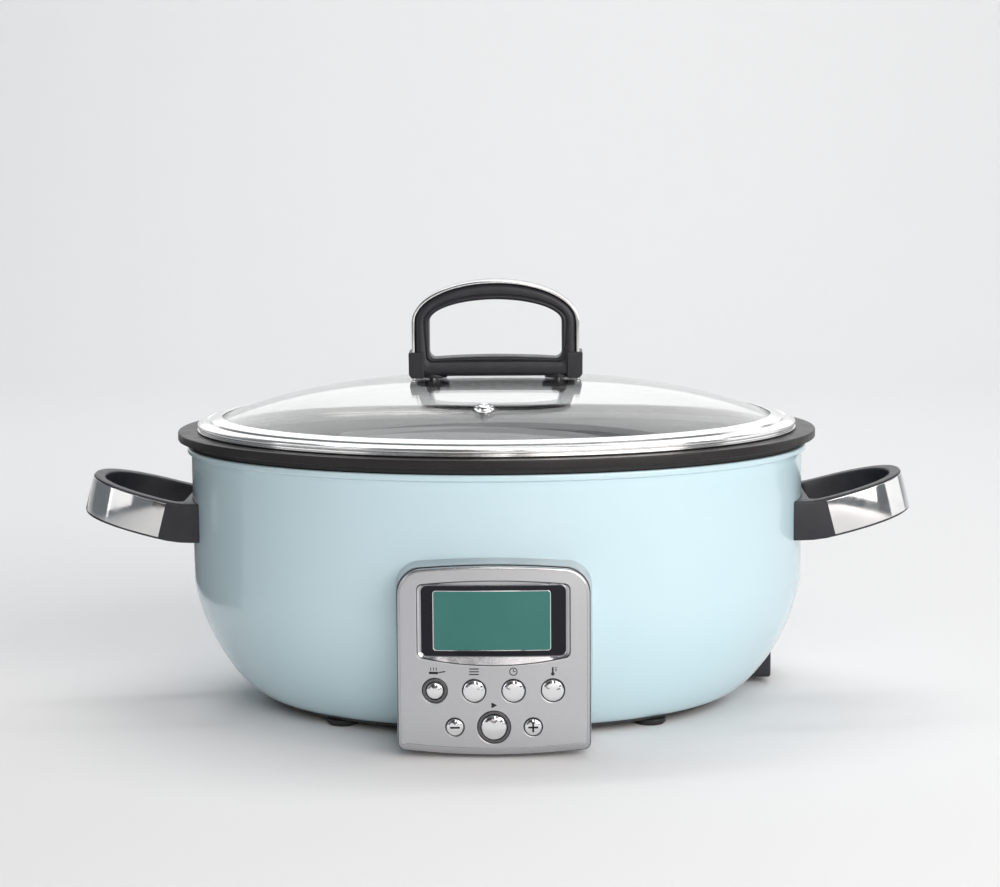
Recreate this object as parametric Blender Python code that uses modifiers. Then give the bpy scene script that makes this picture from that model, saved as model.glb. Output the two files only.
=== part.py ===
"""Oval electric slow cooker, built as an assembly of separate pieces.

Metres, +Z up, the control panel faces -Y. The cooker stands on z = 0.
Round-the-pot pieces are turned profiles squeezed front to back by DEPTH_RATIO, so every
half length below is measured along X and its half depth is DEPTH_RATIO times that.
"""

import math

import bmesh
import bpy
from mathutils import Matrix, Vector

MM = 0.001
GAP = 0.3 * MM          # clearance between pieces that touch
MERGE = 0.00005

# Driving dimensions of the body.
DEPTH_RATIO = 0.72      # half depth over half length of every oval piece
SHELL_HALF = 186 * MM   # half length of the painted shell at its widest
SHELL_WALL = 2 * MM
SHELL_TOP = 159 * MM
BELLY_TOP = 79 * MM     # below this height the shell curves in
BELLY_INSET = 45 * MM
BELLY_POWER = 1.54      # superellipse power of the belly curve
SHELL_BOTTOM = 6 * MM
BASE_OPENING_HALF = 120 * MM
COVER_HALF = 139 * MM
COVER_BOTTOM = 3.8 * MM
COVER_TOP = 5.7 * MM

# Pot, liner and lid.
FLANGE_HALF = 194 * MM
FLANGE_TOP = 168 * MM
FLANGE_THICK = 5 * MM
POT_OUTER_HALF = 173 * MM
POT_BOTTOM = 46 * MM
POT_BASE_THICK = 4.5 * MM
MOUTH_HALF = 170 * MM
LINER_HALF = 175.6 * MM
LINER_WALL = 1.2 * MM
LINER_BOTTOM = 30 * MM
LID_RIM_HALF = 182.3 * MM
LID_GLASS_EDGE = 178.6 * MM
LID_VISIBLE_HALF = 166.8 * MM
LID_SEAT = FLANGE_TOP + GAP
GLASS_EDGE_BOTTOM = FLANGE_TOP + 0.9 * MM
GLASS_TOP = 198.7 * MM
GLASS_SHOULDER = 175.8 * MM     # where the dome meets the steel rim
GLASS_THICK = 4 * MM
DOME_POWER = 2.8

# Control panel. Its front is a shallow cylinder about a vertical axis.
PANEL_FRONT = 150 * MM
PANEL_RADIUS = 490 * MM
PANEL_HALF_WIDTH = 53.8 * MM
PANEL_BOTTOM = 2.3 * MM
PANEL_TOP = 110.3 * MM
FASCIA_THICK = 3 * MM
BUTTON_PROUD = 1.4 * MM

# Side handles: a loop whose arms leave the shell level and then climb.
HANDLE_Z = 115.4 * MM
HANDLE_HEIGHT = 23.8 * MM
HANDLE_BEND_FROM = 184 * MM
HANDLE_BEND_LENGTH = 16 * MM
HANDLE_CLIMB = math.radians(14.6)
HANDLE_TIP = 251 * MM
HANDLE_HALF_WIDTH = 39 * MM
HANDLE_STRAIGHT = 203 * MM      # where the arms begin to curve together
STRAP_THICK = 7 * MM

# Lid handle, an arch in the XZ plane.
ARCH_HALF = 48.9 * MM
ARCH_SPRING = 233 * MM
ARCH_RISE = 23.4 * MM
ARCH_FOOT = 200 * MM
WINDOW_HALF = 40.2 * MM
WINDOW_RISE = 13.5 * MM
WINDOW_FOOT = 211 * MM
LID_SCREW_X = 38 * MM

FEET = [(sx * 91 * MM, sy * 67.5 * MM) for sx in (-1, 1) for sy in (-1, 1)]
BASE_SCREWS = [(sx * 118 * MM, sy * 35 * MM) for sx in (-1, 1) for sy in (-1, 1)]

INLET_FACE = (171.5 * MM, 52 * MM, 17.2 * MM)
SENSOR_TRAVEL = 3 * MM

# The bounding box is centred on the origin, so the oval's axis sits behind it.
OVAL_Y = (PANEL_FRONT + BUTTON_PROUD - DEPTH_RATIO * FLANGE_HALF) / 2

BUTTONS = {
    # name: (x, z, cap radius, ring radius or 0)
    "button_sear": (-33 * MM, 39.4 * MM, 4.9 * MM, 6.9 * MM),
    "button_menu": (-11 * MM, 39.4 * MM, 6.4 * MM, 0),
    "button_time": (11 * MM, 39.4 * MM, 6.4 * MM, 0),
    "button_temp": (33 * MM, 39.4 * MM, 6.4 * MM, 0),
    "button_minus": (-21.9 * MM, 18.6 * MM, 5.0 * MM, 0),
    "button_start": (0, 18.6 * MM, 7.2 * MM, 9.1 * MM),
    "button_plus": (21.9 * MM, 18.6 * MM, 5.0 * MM, 0),
}

# Looks: colour, roughness, metallic.
LOOKS = {
    "aqua_enamel": ((0.55, 0.80, 0.84), 0.15, 0.0),
    "black_plastic": ((0.03, 0.03, 0.035), 0.5, 0.0),
    "dark_ceramic": ((0.16, 0.16, 0.17), 0.35, 0.2),
    "bright_steel": ((0.75, 0.75, 0.76), 0.15, 1.0),
    "liner_steel": ((0.6, 0.6, 0.6), 0.4, 1.0),
    "tempered_glass": ((0.85, 0.9, 0.9), 0.05, 0.0),
    "silver_panel": ((0.62, 0.62, 0.64), 0.3, 0.8),
    "chrome": ((0.8, 0.8, 0.82), 0.08, 1.0),
    "smoked_window": ((0.02, 0.02, 0.025), 0.1, 0.0),
    "lcd_green": ((0.10, 0.33, 0.27), 0.3, 0.0),
    "rubber": ((0.05, 0.05, 0.05), 0.8, 0.0),
    "cast_aluminium": ((0.55, 0.55, 0.55), 0.5, 0.9),
    "circuit_board": ((0.05, 0.25, 0.12), 0.5, 0.0),
    "silicone": ((0.8, 0.8, 0.78), 0.7, 0.0),
    "wire_red": ((0.6, 0.05, 0.05), 0.5, 0.0),
}


# ---------------------------------------------------------------- scene and objects


def clear_scene():
    for obj in list(bpy.data.objects):
        bpy.data.objects.remove(obj, do_unlink=True)


def new_collection(name):
    collection = bpy.data.collections.new(name)
    bpy.context.scene.collection.children.link(collection)
    return collection


def look(name):
    found = bpy.data.materials.get(name)
    if found:
        return found
    colour, roughness, metallic = LOOKS[name]
    made = bpy.data.materials.new(name)
    made.use_nodes = True
    shader = made.node_tree.nodes["Principled BSDF"]
    shader.inputs["Base Color"].default_value = (*colour, 1)
    shader.inputs["Roughness"].default_value = roughness
    shader.inputs["Metallic"].default_value = metallic
    return made


clear_scene()
PARTS = new_collection("slow_cooker")
CUTTERS = new_collection("cutters")
CENTRE = bpy.data.objects.new("oval_axis", None)
CENTRE.location = (0, OVAL_Y, 0)
PARTS.objects.link(CENTRE)


def add_object(name, mesh, look_name, location=(0, 0, 0), rotation=(0, 0, 0)):
    """A part if it has a look, and otherwise a hidden cutter."""
    obj = bpy.data.objects.new(name, mesh)
    obj.location = location
    obj.rotation_euler = rotation
    obj.parent = CENTRE
    if look_name:
        PARTS.objects.link(obj)
        mesh.materials.append(look(look_name))
    else:
        CUTTERS.objects.link(obj)
        obj.hide_render = True
        obj.display_type = "WIRE"
    return obj


def boolean(obj, other, operation="DIFFERENCE"):
    modifier = obj.modifiers.new(operation.title() + " " + other.name, "BOOLEAN")
    modifier.operation = operation
    modifier.solver = "EXACT"
    modifier.object = other
    return obj


# ---------------------------------------------------------------- shapes


def turned(name, profile, look_name, oval=True, loop=False, steps=40, **place):
    """Turns (radius, height) points about Z. The outer side of the profile runs downwards."""
    count = len(profile)
    edges = [(i, i + 1) for i in range(count - 1)]
    if loop:
        edges.append((count - 1, 0))
    mesh = bpy.data.meshes.new(name)
    mesh.from_pydata([(r, 0, z) for r, z in profile], edges, [])
    obj = add_object(name, mesh, look_name, **place)
    if oval:
        obj.scale.y = DEPTH_RATIO
    screw = obj.modifiers.new("Turn", "SCREW")
    screw.steps = steps
    screw.render_steps = steps
    screw.use_merge_vertices = True
    screw.merge_threshold = MERGE
    screw.use_smooth_shade = True
    return obj


def loft(name, sections, look_name, ring=False, **place):
    """Joins equal closed sections one after the other, as a ring or with flat ends."""
    size = len(sections[0])
    count = len(sections)
    faces = []
    for i in range(count if ring else count - 1):
        j = (i + 1) % count
        for k in range(size):
            m = (k + 1) % size
            faces.append((i * size + k, i * size + m, j * size + m, j * size + k))
    if not ring:
        faces.append(tuple(range(size)))
        faces.append(tuple((count - 1) * size + k for k in range(size)))
    mesh = bpy.data.meshes.new(name)
    mesh.from_pydata([tuple(p) for section in sections for p in section], [], faces)
    outward = bmesh.new()
    outward.from_mesh(mesh)
    bmesh.ops.recalc_face_normals(outward, faces=outward.faces)
    # A twisted quad isn't flat, and the exact boolean needs flat faces.
    twisted = [f for f in outward.faces if len(f.verts) == 4]
    bmesh.ops.triangulate(outward, faces=twisted)
    outward.to_mesh(mesh)
    outward.free()
    mesh.shade_smooth()
    mesh.set_sharp_from_angle(angle=math.radians(35))
    return add_object(name, mesh, look_name, **place)


def box(name, low, high, look_name, bevel=0.0, **place):
    """A box between two corners, with its edges rounded by bevel."""
    low, high = Vector(low), Vector(high)
    shape = bmesh.new()
    bmesh.ops.create_cube(shape, size=1)
    bmesh.ops.scale(shape, vec=high - low, verts=shape.verts)
    bmesh.ops.translate(shape, vec=(high + low) / 2, verts=shape.verts)
    mesh = bpy.data.meshes.new(name)
    shape.to_mesh(mesh)
    shape.free()
    obj = add_object(name, mesh, look_name, **place)
    if bevel:
        rounding = obj.modifiers.new("Rounded edges", "BEVEL")
        rounding.width = bevel
        rounding.segments = 2
    return obj


def cylinder(name, radius, start, end, look_name, segments=24, radius_end=None):
    """A cylinder or cone from point start to point end."""
    start, end = Vector(start), Vector(end)
    shape = bmesh.new()
    bmesh.ops.create_cone(
        shape,
        cap_ends=True,
        segments=segments,
        radius1=radius,
        radius2=radius if radius_end is None else radius_end,
        depth=(end - start).length,
    )
    turn = Vector((0, 0, 1)).rotation_difference(end - start).to_matrix().to_4x4()
    shape.transform(Matrix.Translation((start + end) / 2) @ turn)
    mesh = bpy.data.meshes.new(name)
    shape.to_mesh(mesh)
    shape.free()
    mesh.shade_smooth()
    mesh.set_sharp_from_angle(angle=math.radians(35))
    return add_object(name, mesh, look_name)


def curve_to_mesh(curve_object, name, look_name):
    """The curve's solid as a mesh, with its caps welded, in the curve's place."""
    bpy.context.view_layer.update()
    graph = bpy.context.evaluated_depsgraph_get()
    mesh = bpy.data.meshes.new_from_object(curve_object.evaluated_get(graph))
    mesh.name = name
    place = curve_object.matrix_world.copy()
    data = curve_object.data
    bpy.data.objects.remove(curve_object)
    bpy.data.curves.remove(data)
    shape = bmesh.new()
    shape.from_mesh(mesh)
    bmesh.ops.remove_doubles(shape, verts=shape.verts, dist=MERGE)
    bmesh.ops.recalc_face_normals(shape, faces=shape.faces)
    shape.to_mesh(mesh)
    shape.free()
    mesh.materials.clear()
    obj = add_object(name, mesh, look_name)
    bpy.context.view_layer.update()
    obj.matrix_world = place
    return obj


def slab(name, outline, front, back, look_name):
    """A flat (x, z) outline made solid between the depths y = front and y = back."""
    curve = bpy.data.curves.new(name, "CURVE")
    curve.dimensions = "2D"
    curve.fill_mode = "BOTH"
    curve.extrude = (back - front) / 2
    spline = curve.splines.new("POLY")
    spline.points.add(len(outline) - 1)
    for point, (x, z) in zip(spline.points, outline):
        point.co = (x, z, 0, 1)
    spline.use_cyclic_u = True
    flat = bpy.data.objects.new(name + "_outline", curve)
    CUTTERS.objects.link(flat)
    flat.parent = CENTRE
    flat.location = (0, (front + back) / 2, 0)
    flat.rotation_euler = (math.radians(90), 0, 0)
    return curve_to_mesh(flat, name, look_name)


def wire(name, points, radius, look_name):
    """A round wire along points."""
    curve = bpy.data.curves.new(name, "CURVE")
    curve.dimensions = "3D"
    curve.bevel_depth = radius
    curve.bevel_resolution = 2
    curve.use_fill_caps = True
    spline = curve.splines.new("POLY")
    spline.points.add(len(points) - 1)
    for point, place in zip(spline.points, points):
        point.co = (*place, 1)
    curve.materials.append(look(look_name))
    obj = bpy.data.objects.new(name, curve)
    obj.parent = CENTRE
    PARTS.objects.link(obj)
    return obj


def smooth_path(knots, spacing):
    """Points along a Catmull-Rom curve through knots, about spacing apart."""
    knots = [Vector(k) for k in knots]
    ends = [2 * knots[0] - knots[1], *knots, 2 * knots[-1] - knots[-2]]
    path = [knots[0]]
    for a, b, c, d in zip(ends, ends[1:], ends[2:], ends[3:]):
        steps = max(2, round((c - b).length / spacing))
        for i in range(1, steps + 1):
            t = i / steps
            straight = (c - a) * t
            curve = (2 * a - 5 * b + 4 * c - d) * t * t
            twist = (3 * b - a - 3 * c + d) * t ** 3
            path.append(b + (straight + curve + twist) / 2)
    return path


def arc(centre_r, centre_z, radius, start, end, count):
    """Points on an arc, angles in degrees from +R towards +Z."""
    found = []
    for i in range(count + 1):
        angle = math.radians(start + (end - start) * i / count)
        found.append((centre_r + radius * math.cos(angle), centre_z + radius * math.sin(angle)))
    return found


def rounded_rectangle(half_width, bottom, top, radius, count=4):
    corners = [
        (half_width - radius, bottom + radius, -90),
        (half_width - radius, top - radius, 0),
        (radius - half_width, top - radius, 90),
        (radius - half_width, bottom + radius, 180),
    ]
    return [p for x, z, a in corners for p in arc(x, z, radius, a, a + 90, count)]


def belly(half, inset, bottom, count=9):
    """The curve from the straight wall at BELLY_TOP, in and down to bottom."""
    found = []
    for i in range(count + 1):
        turn = math.pi / 2 * i / count
        across = 1 - max(0.0, math.cos(turn)) ** (2 / BELLY_POWER)
        down = math.sin(turn) ** (2 / BELLY_POWER)
        found.append((half - inset * across, BELLY_TOP - (BELLY_TOP - bottom) * down))
    return found


# ---------------------------------------------------------------- body


def body_envelope(margin):
    """The body's outer form grown by margin, down to the ground: cuts what stands against it."""
    profile = [(0, SHELL_TOP), (SHELL_HALF + margin, SHELL_TOP)]
    profile += belly(SHELL_HALF + margin, BELLY_INSET, SHELL_BOTTOM - margin)
    profile += [(SHELL_HALF + margin - BELLY_INSET, -5 * MM), (0, -5 * MM)]
    return turned("body_envelope", profile, None)


def outer_shell():
    bead = 2.4 * MM
    profile = [
        (SHELL_HALF - SHELL_WALL, SHELL_TOP),
        (SHELL_HALF + bead - 0.8 * MM, SHELL_TOP),
        (SHELL_HALF + bead, SHELL_TOP - 0.8 * MM),
        (SHELL_HALF + bead, SHELL_TOP - 2.6 * MM),
        (SHELL_HALF + bead - 0.8 * MM, SHELL_TOP - 3.4 * MM),
        (SHELL_HALF, SHELL_TOP - 3.9 * MM),
    ]
    profile += belly(SHELL_HALF, BELLY_INSET, SHELL_BOTTOM)
    profile += [(BASE_OPENING_HALF, SHELL_BOTTOM), (BASE_OPENING_HALF, SHELL_BOTTOM + SHELL_WALL)]
    inner = belly(SHELL_HALF - SHELL_WALL, BELLY_INSET - 1 * MM, SHELL_BOTTOM + SHELL_WALL, 6)
    profile += inner[::-1]
    shell = turned("outer_shell", profile, "aqua_enamel", loop=True)
    window = box("panel_window", (-22 * MM, -145 * MM, 46.3 * MM), (22 * MM, -115 * MM, 70.3 * MM), None)
    boolean(shell, window)
    for i, (x, y) in enumerate(BASE_SCREWS):
        hole = cylinder(f"base_hole_{i}", 2.3 * MM, (x, y, 0), (x, y, 15 * MM), None, 16)
        boolean(shell, hole)
    return shell


def rim_ring():
    top = FLANGE_TOP - FLANGE_THICK - GAP
    bottom = SHELL_TOP + GAP
    skirt = SHELL_HALF - SHELL_WALL - 0.5 * MM
    profile = [
        (186 * MM, top),
        (186 * MM, bottom),
        (skirt, bottom),
        (skirt, bottom - 11 * MM),
        (skirt - 2 * MM, bottom - 11 * MM),
        (skirt - 2 * MM, bottom),
        (175.5 * MM, bottom),
        (175.5 * MM, top),
    ]
    return turned("rim_ring", profile, "black_plastic", loop=True)


def heat_liner():
    top = SHELL_TOP
    curve = 42 * MM
    outer = arc(LINER_HALF - curve, LINER_BOTTOM + curve, curve, 0, -90, 5)
    wall = LINER_WALL
    inner = arc(LINER_HALF - curve, LINER_BOTTOM + curve, curve - wall, -90, 0, 5)
    profile = [(0, LINER_BOTTOM + wall), *inner, (LINER_HALF - wall, top), (LINER_HALF + 2.4 * MM, top)]
    profile += [(LINER_HALF + 2.4 * MM, top - wall), (LINER_HALF, top - wall), *outer, (0, LINER_BOTTOM)]
    liner = turned("heat_liner", profile, "liner_steel")
    boolean(liner, cylinder("guide_hole", 6.3 * MM, (0, 0, 20 * MM), (0, 0, 40 * MM), None))
    for i, x in enumerate((-1, 1)):
        place = Vector((x * 18 * MM, 0.8 * 62 * MM, 0))
        low, high = place + Vector((0, 0, 20 * MM)), place + Vector((0, 0, 40 * MM))
        boolean(liner, cylinder(f"lead_hole_{i}", 5 * MM, low, high, None, 16))
    return liner


def base_cover():
    profile = [(0, COVER_TOP), (COVER_HALF, COVER_TOP), (COVER_HALF, COVER_BOTTOM), (0, COVER_BOTTOM)]
    cover = turned("base_cover", profile, "black_plastic")
    for i, (x, y) in enumerate(BASE_SCREWS):
        boolean(cover, cylinder(f"cover_hole_{i}", 2.3 * MM, (x, y, 0), (x, y, 9 * MM), None, 16))
    for i, (x, y) in enumerate(FEET):
        boolean(cover, cylinder(f"foot_hole_{i}", 3.8 * MM, (x, y, 0), (x, y, 9 * MM), None, 16))
    for i in range(7):
        x = (i - 3) * 16 * MM
        low = (x - 2 * MM, -30 * MM, 0)
        high = (x + 2 * MM, -6 * MM, 9 * MM)
        boolean(cover, box(f"vent_{i}", low, high, None))
    for i, (x, y) in enumerate(board_corners(6 * MM)):
        post = cylinder(f"post_{i}", 3.5 * MM, (x, y, 4.5 * MM), (x, y, BOARD_BOTTOM - GAP), None, 16)
        boolean(cover, post, "UNION")
    return cover


def feet_and_base_screws():
    for i, (x, y) in enumerate(FEET):
        profile = [
            (0, COVER_TOP - GAP),
            (3.5 * MM, COVER_TOP - GAP),
            (3.5 * MM, COVER_BOTTOM - GAP),
            (9.5 * MM, COVER_BOTTOM - GAP),
            (9.3 * MM, 1.2 * MM),
            (8.2 * MM, 0),
            (0, 0),
        ]
        turned(f"foot_{i + 1}", profile, "rubber", oval=False, steps=16, location=(x, y, 0))
    for i, (x, y) in enumerate(BASE_SCREWS):
        head = COVER_BOTTOM - GAP
        profile = [
            (0, 14 * MM),
            (1.8 * MM, 14 * MM),
            (2 * MM, 13 * MM),
            (2 * MM, head),
            (3.8 * MM, head),
            (3.4 * MM, head - 1.8 * MM),
            (0, head - 1.8 * MM),
        ]
        turned(f"base_screw_{i + 1}", profile, "bright_steel", oval=False, steps=12, location=(x, y, 0))


# ---------------------------------------------------------------- heater, sensor, electronics

BOARD_BOTTOM = 14 * MM
BOARD_CENTRE = (52 * MM, 0)
BOARD_HALF = (42 * MM, 30 * MM)
HEATER_TOP = POT_BOTTOM - 0.4 * MM
HEATER_BOTTOM = 40.5 * MM
ELEMENT_Z = 36.9 * MM
ELEMENT_RADIUS = 3.2 * MM


def board_corners(inset):
    cx, cy = BOARD_CENTRE
    hx, hy = BOARD_HALF[0] - inset, BOARD_HALF[1] - inset
    return [(cx + sx * hx, cy + sy * hy) for sx in (-1, 1) for sy in (-1, 1)]


def heater():
    rim = 1.5 * MM
    profile = [
        (0, HEATER_TOP),
        (110 * MM - rim, HEATER_TOP),
        (110 * MM, HEATER_TOP - rim),
        (110 * MM, HEATER_BOTTOM),
        (0, HEATER_BOTTOM),
    ]
    plate = turned("heater_plate", profile, "cast_aluminium")
    boolean(plate, cylinder("sensor_well", 12.5 * MM, (0, 0, 30 * MM), (0, 0, 55 * MM), None, 32))
    # The element runs nearly all the way round and turns down through the liner at the back.
    reach, gap_angle = 78 * MM, math.radians(14)
    around = []
    for i in range(29):
        angle = math.pi / 2 + gap_angle + (2 * math.pi - 2 * gap_angle) * i / 28
        x, y = reach * math.cos(angle), 0.8 * reach * math.sin(angle)
        around.append(Vector((x, y, ELEMENT_Z)))
    down = []
    for end in (around[0], around[-1]):
        x = math.copysign(18 * MM, end.x)
        y = 0.8 * 62 * MM
        knee = Vector((x, y + 3 * MM, ELEMENT_Z - 1 * MM))
        down.append([knee, Vector((x, y, ELEMENT_Z - 5 * MM)), Vector((x, y, 22 * MM))])
    path = down[0][::-1] + around + down[1]
    wire("heater_element", path, ELEMENT_RADIUS, "liner_steel")


def sensor():
    guide = [
        (3.3 * MM, 33.2 * MM),
        (8.5 * MM, 33.2 * MM),
        (8.5 * MM, LINER_BOTTOM + LINER_WALL + GAP),
        (6.0 * MM, LINER_BOTTOM + LINER_WALL + GAP),
        (6.0 * MM, 28.5 * MM),
        (3.3 * MM, 28.5 * MM),
    ]
    turned("sensor_guide", guide, "silicone", oval=False, loop=True, steps=16)
    top = POT_BOTTOM - GAP
    cap = [
        (0, top),
        (10 * MM, top),
        (10.5 * MM, top - 0.8 * MM),
        (10.5 * MM, top - 8 * MM),
        (9 * MM, top - 8 * MM),
        (9 * MM, top - 3.5 * MM),
        (3 * MM, top - 3.5 * MM),
        (3 * MM, 25 * MM),
        (0, 25 * MM),
    ]
    turned("sensor_plunger", cap, "cast_aluminium", oval=False, steps=16)
    low, high, turns, wire_radius = 34.1 * MM, top - 4.4 * MM, 3, 0.45 * MM
    coil = []
    for i in range(turns * 9 + 1):
        angle = 2 * math.pi * i / 9
        height = low + (high - low) * i / (turns * 9)
        coil.append((6 * MM * math.cos(angle), 6 * MM * math.sin(angle), height))
    wire("sensor_spring", coil, wire_radius, "bright_steel")


def electronics():
    (cx, cy), (hx, hy) = BOARD_CENTRE, BOARD_HALF
    low = (cx - hx, cy - hy, BOARD_BOTTOM)
    high = (cx + hx, cy + hy, BOARD_BOTTOM + 1.6 * MM)
    box("power_board", low, high, "circuit_board")
    fuse_y = 30 * MM
    start, end = (-12 * MM, fuse_y, 26 * MM), (12 * MM, fuse_y, 26 * MM)
    cylinder("thermal_fuse", 3 * MM, start, end, "silicone", 16)


def leads():
    """Insulated leads between the element's ends, the fuse and the power board."""
    back = 0.8 * 62 * MM
    end_z = 21 * MM
    right = [
        (18 * MM, back, end_z),
        (20 * MM, back - 3 * MM, end_z - 2.5 * MM),
        (30 * MM, back - 12 * MM, end_z - 2.5 * MM),
        (44 * MM, 31 * MM, end_z - 2 * MM),
        (58 * MM, 20 * MM, end_z - 1 * MM),
        (66 * MM, 8 * MM, BOARD_BOTTOM + 3.6 * MM),
    ]
    wire("heater_lead_right", smooth_path(right, 4 * MM), 1.4 * MM, "wire_red")
    left = [
        (-18 * MM, back, end_z - 0.4 * MM),
        (-19.5 * MM, back - 2.5 * MM, end_z - 3.5 * MM),
        (-24 * MM, back - 12 * MM, end_z - 1 * MM),
        (-20 * MM, 31 * MM, 25 * MM),
        (-13.6 * MM, 30 * MM, 26 * MM),
    ]
    wire("heater_lead_left", smooth_path(left, 4 * MM), 1.4 * MM, "wire_red")


# ---------------------------------------------------------------- inlet


def inlet():
    """A mains inlet in a block under the right rear of the shell, facing outwards."""
    place = {"location": INLET_FACE}
    low = (-84 * MM, -25 * MM, -13.5 * MM)
    high = (0, 25 * MM, 14 * MM)
    block = box("inlet_housing", low, high, "black_plastic", 3 * MM, **place)
    boolean(block, body_envelope(0.4 * MM))
    well_low = (-19.5 * MM, -14.8 * MM, -9.5 * MM)
    well = box("inlet_well", well_low, (5 * MM, 14.8 * MM, 10.3 * MM), None, **place)
    boolean(block, well)
    boolean(bpy.data.objects["outer_shell"], well)
    body_low = (-19 * MM, -14.3 * MM, -9 * MM)
    body_high = (0.8 * MM, 14.3 * MM, 9.8 * MM)
    socket = box("inlet_socket", body_low, body_high, "black_plastic", 0.6 * MM, **place)
    mouth_low = (-17 * MM, -12.2 * MM, -7.4 * MM)
    boolean(socket, box("inlet_mouth", mouth_low, (5 * MM, 12.2 * MM, 8.2 * MM), None, **place))
    pins = {"line": (-7, -2), "neutral": (7, -2), "earth": (0, 2.5)}
    for name, (across, up) in pins.items():
        y, z = across * MM, up * MM
        low = (-16.7 * MM, y - 1 * MM, z - 2 * MM)
        high = (-3.5 * MM, y + 1 * MM, z + 2 * MM)
        box(f"inlet_pin_{name}", low, high, "bright_steel", 0.4 * MM, **place)


# ---------------------------------------------------------------- pot and lid


def inner_pot():
    curve = 38 * MM
    thick = POT_BASE_THICK
    floor = POT_BOTTOM + thick
    foot_r = POT_OUTER_HALF - 2 * MM
    outer = arc(foot_r - curve, POT_BOTTOM + curve, curve, 0, -90, 5)
    inner = arc(foot_r - curve, floor + curve - 4 * MM, curve - 4 * MM, -90, 0, 5)
    under = FLANGE_TOP - FLANGE_THICK
    profile = [(0, floor), *inner, (MOUTH_HALF, FLANGE_TOP - 1 * MM), (MOUTH_HALF + 1 * MM, FLANGE_TOP)]
    profile += [
        (FLANGE_HALF - 1.2 * MM, FLANGE_TOP),
        (FLANGE_HALF, FLANGE_TOP - 1.2 * MM),
        (FLANGE_HALF, under + 1.2 * MM),
        (FLANGE_HALF - 1.2 * MM, under),
        (POT_OUTER_HALF + 1 * MM, under),
        (POT_OUTER_HALF, under - 1 * MM),
    ]
    profile += [*outer, (0, POT_BOTTOM)]
    return turned("inner_pot", profile, "dark_ceramic")


def dome(radius):
    """Height of the glass at a radius along X: a dome, and a plain slope under the steel rim."""
    if radius > LID_VISIBLE_HALF:
        covered = (radius - LID_VISIBLE_HALF) / (LID_GLASS_EDGE - LID_VISIBLE_HALF)
        return GLASS_SHOULDER - (GLASS_SHOULDER - GLASS_EDGE_BOTTOM - GLASS_THICK) * covered
    return GLASS_TOP - (GLASS_TOP - GLASS_SHOULDER) * (radius / LID_VISIBLE_HALF) ** DOME_POWER


def spread(count):
    """Radii from the axis to the rim, and the edge of the glass."""
    return [LID_VISIBLE_HALF * i / count for i in range(count + 1)] + [LID_GLASS_EDGE]


def lid_glass():
    outer = [(r, dome(r)) for r in spread(8)]
    inner = [(r, dome(r) - GLASS_THICK) for r in spread(8)]
    profile = outer + inner[::-1]
    glass = turned("lid_glass", profile, "tempered_glass")
    for i, x in enumerate((-LID_SCREW_X, LID_SCREW_X)):
        boolean(glass, cylinder(f"glass_hole_{i}", 3 * MM, (x, 0, 170 * MM), (x, 0, 210 * MM), None, 16))
    place, slope = vent_seat()
    along = Vector((0, -math.sin(slope), math.cos(slope))) * 12 * MM
    boolean(glass, cylinder("vent_hole", 3.2 * MM, place - along, place + along, None, 16))
    return glass


def lid_rim():
    """Steel channel folded round the edge of the glass, with a skirt that drops into the pot."""
    lip = dome(LID_VISIBLE_HALF) + 0.4 * MM
    edge_high = dome(LID_GLASS_EDGE) + 0.4 * MM
    skirt = 168.8 * MM
    profile = [
        (LID_VISIBLE_HALF, lip + 0.9 * MM),
        (LID_GLASS_EDGE, edge_high + 0.9 * MM),
        (LID_RIM_HALF - 1 * MM, edge_high + 0.3 * MM),
        (LID_RIM_HALF, edge_high - 1 * MM),
        (LID_RIM_HALF, LID_SEAT + 0.4 * MM),
        (LID_RIM_HALF - 0.4 * MM, LID_SEAT),
        (skirt, LID_SEAT),
        (skirt, LID_SEAT - 4 * MM),
        (skirt - 0.9 * MM, LID_SEAT - 4 * MM),
        (skirt - 0.9 * MM, LID_SEAT + 0.3 * MM),
        (LID_GLASS_EDGE + 0.5 * MM, LID_SEAT + 0.3 * MM),
        (LID_GLASS_EDGE + 0.5 * MM, edge_high),
        (LID_VISIBLE_HALF, lip),
    ]
    return turned("lid_rim", profile, "bright_steel", loop=True)


VENT = (-5.5 * MM, -86 * MM)


def glass_height(x, y):
    """Height of the lid's outer glass surface over a point."""
    return dome(math.hypot(x, y / DEPTH_RATIO))


def vent_seat():
    """The vent's place on the glass, and the slope of the glass there, front to back."""
    x, y = VENT
    slope = math.atan2(glass_height(x, y + 2 * MM) - glass_height(x, y - 2 * MM), 4 * MM)
    return Vector((x, y, glass_height(x, y))), slope


def lid_vent():
    """A grommet square to the glass, pushed through its own hole."""
    seat = 0.7 * MM
    profile = [
        (0, seat + 2.6 * MM),
        (2 * MM, seat + 2.4 * MM),
        (4 * MM, seat + 1.2 * MM),
        (4.3 * MM, seat + 0.6 * MM),
        (5.8 * MM, seat + 0.2 * MM),
        (5.8 * MM, seat - 0.4 * MM),
        (2.8 * MM, seat - 0.4 * MM),
        (2.8 * MM, -6.8 * MM),
        (0, -6.8 * MM),
    ]
    point, slope = vent_seat()
    place = {"location": point, "rotation": (slope, 0, 0)}
    return turned("lid_vent", profile, "chrome", oval=False, steps=16, **place)


def arch_outline(half, rise, foot, corner, count=16):
    """Closed (x, z) outline: an elliptical arch on straight sides with rounded feet."""
    found = []
    for i in range(count + 1):
        angle = math.pi * i / count
        found.append((half * math.cos(angle), ARCH_SPRING + rise * math.sin(angle)))
    found += arc(corner - half, foot + corner, corner, 180, 270, 3)
    found += arc(half - corner, foot + corner, corner, 270, 360, 3)
    return found


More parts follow.
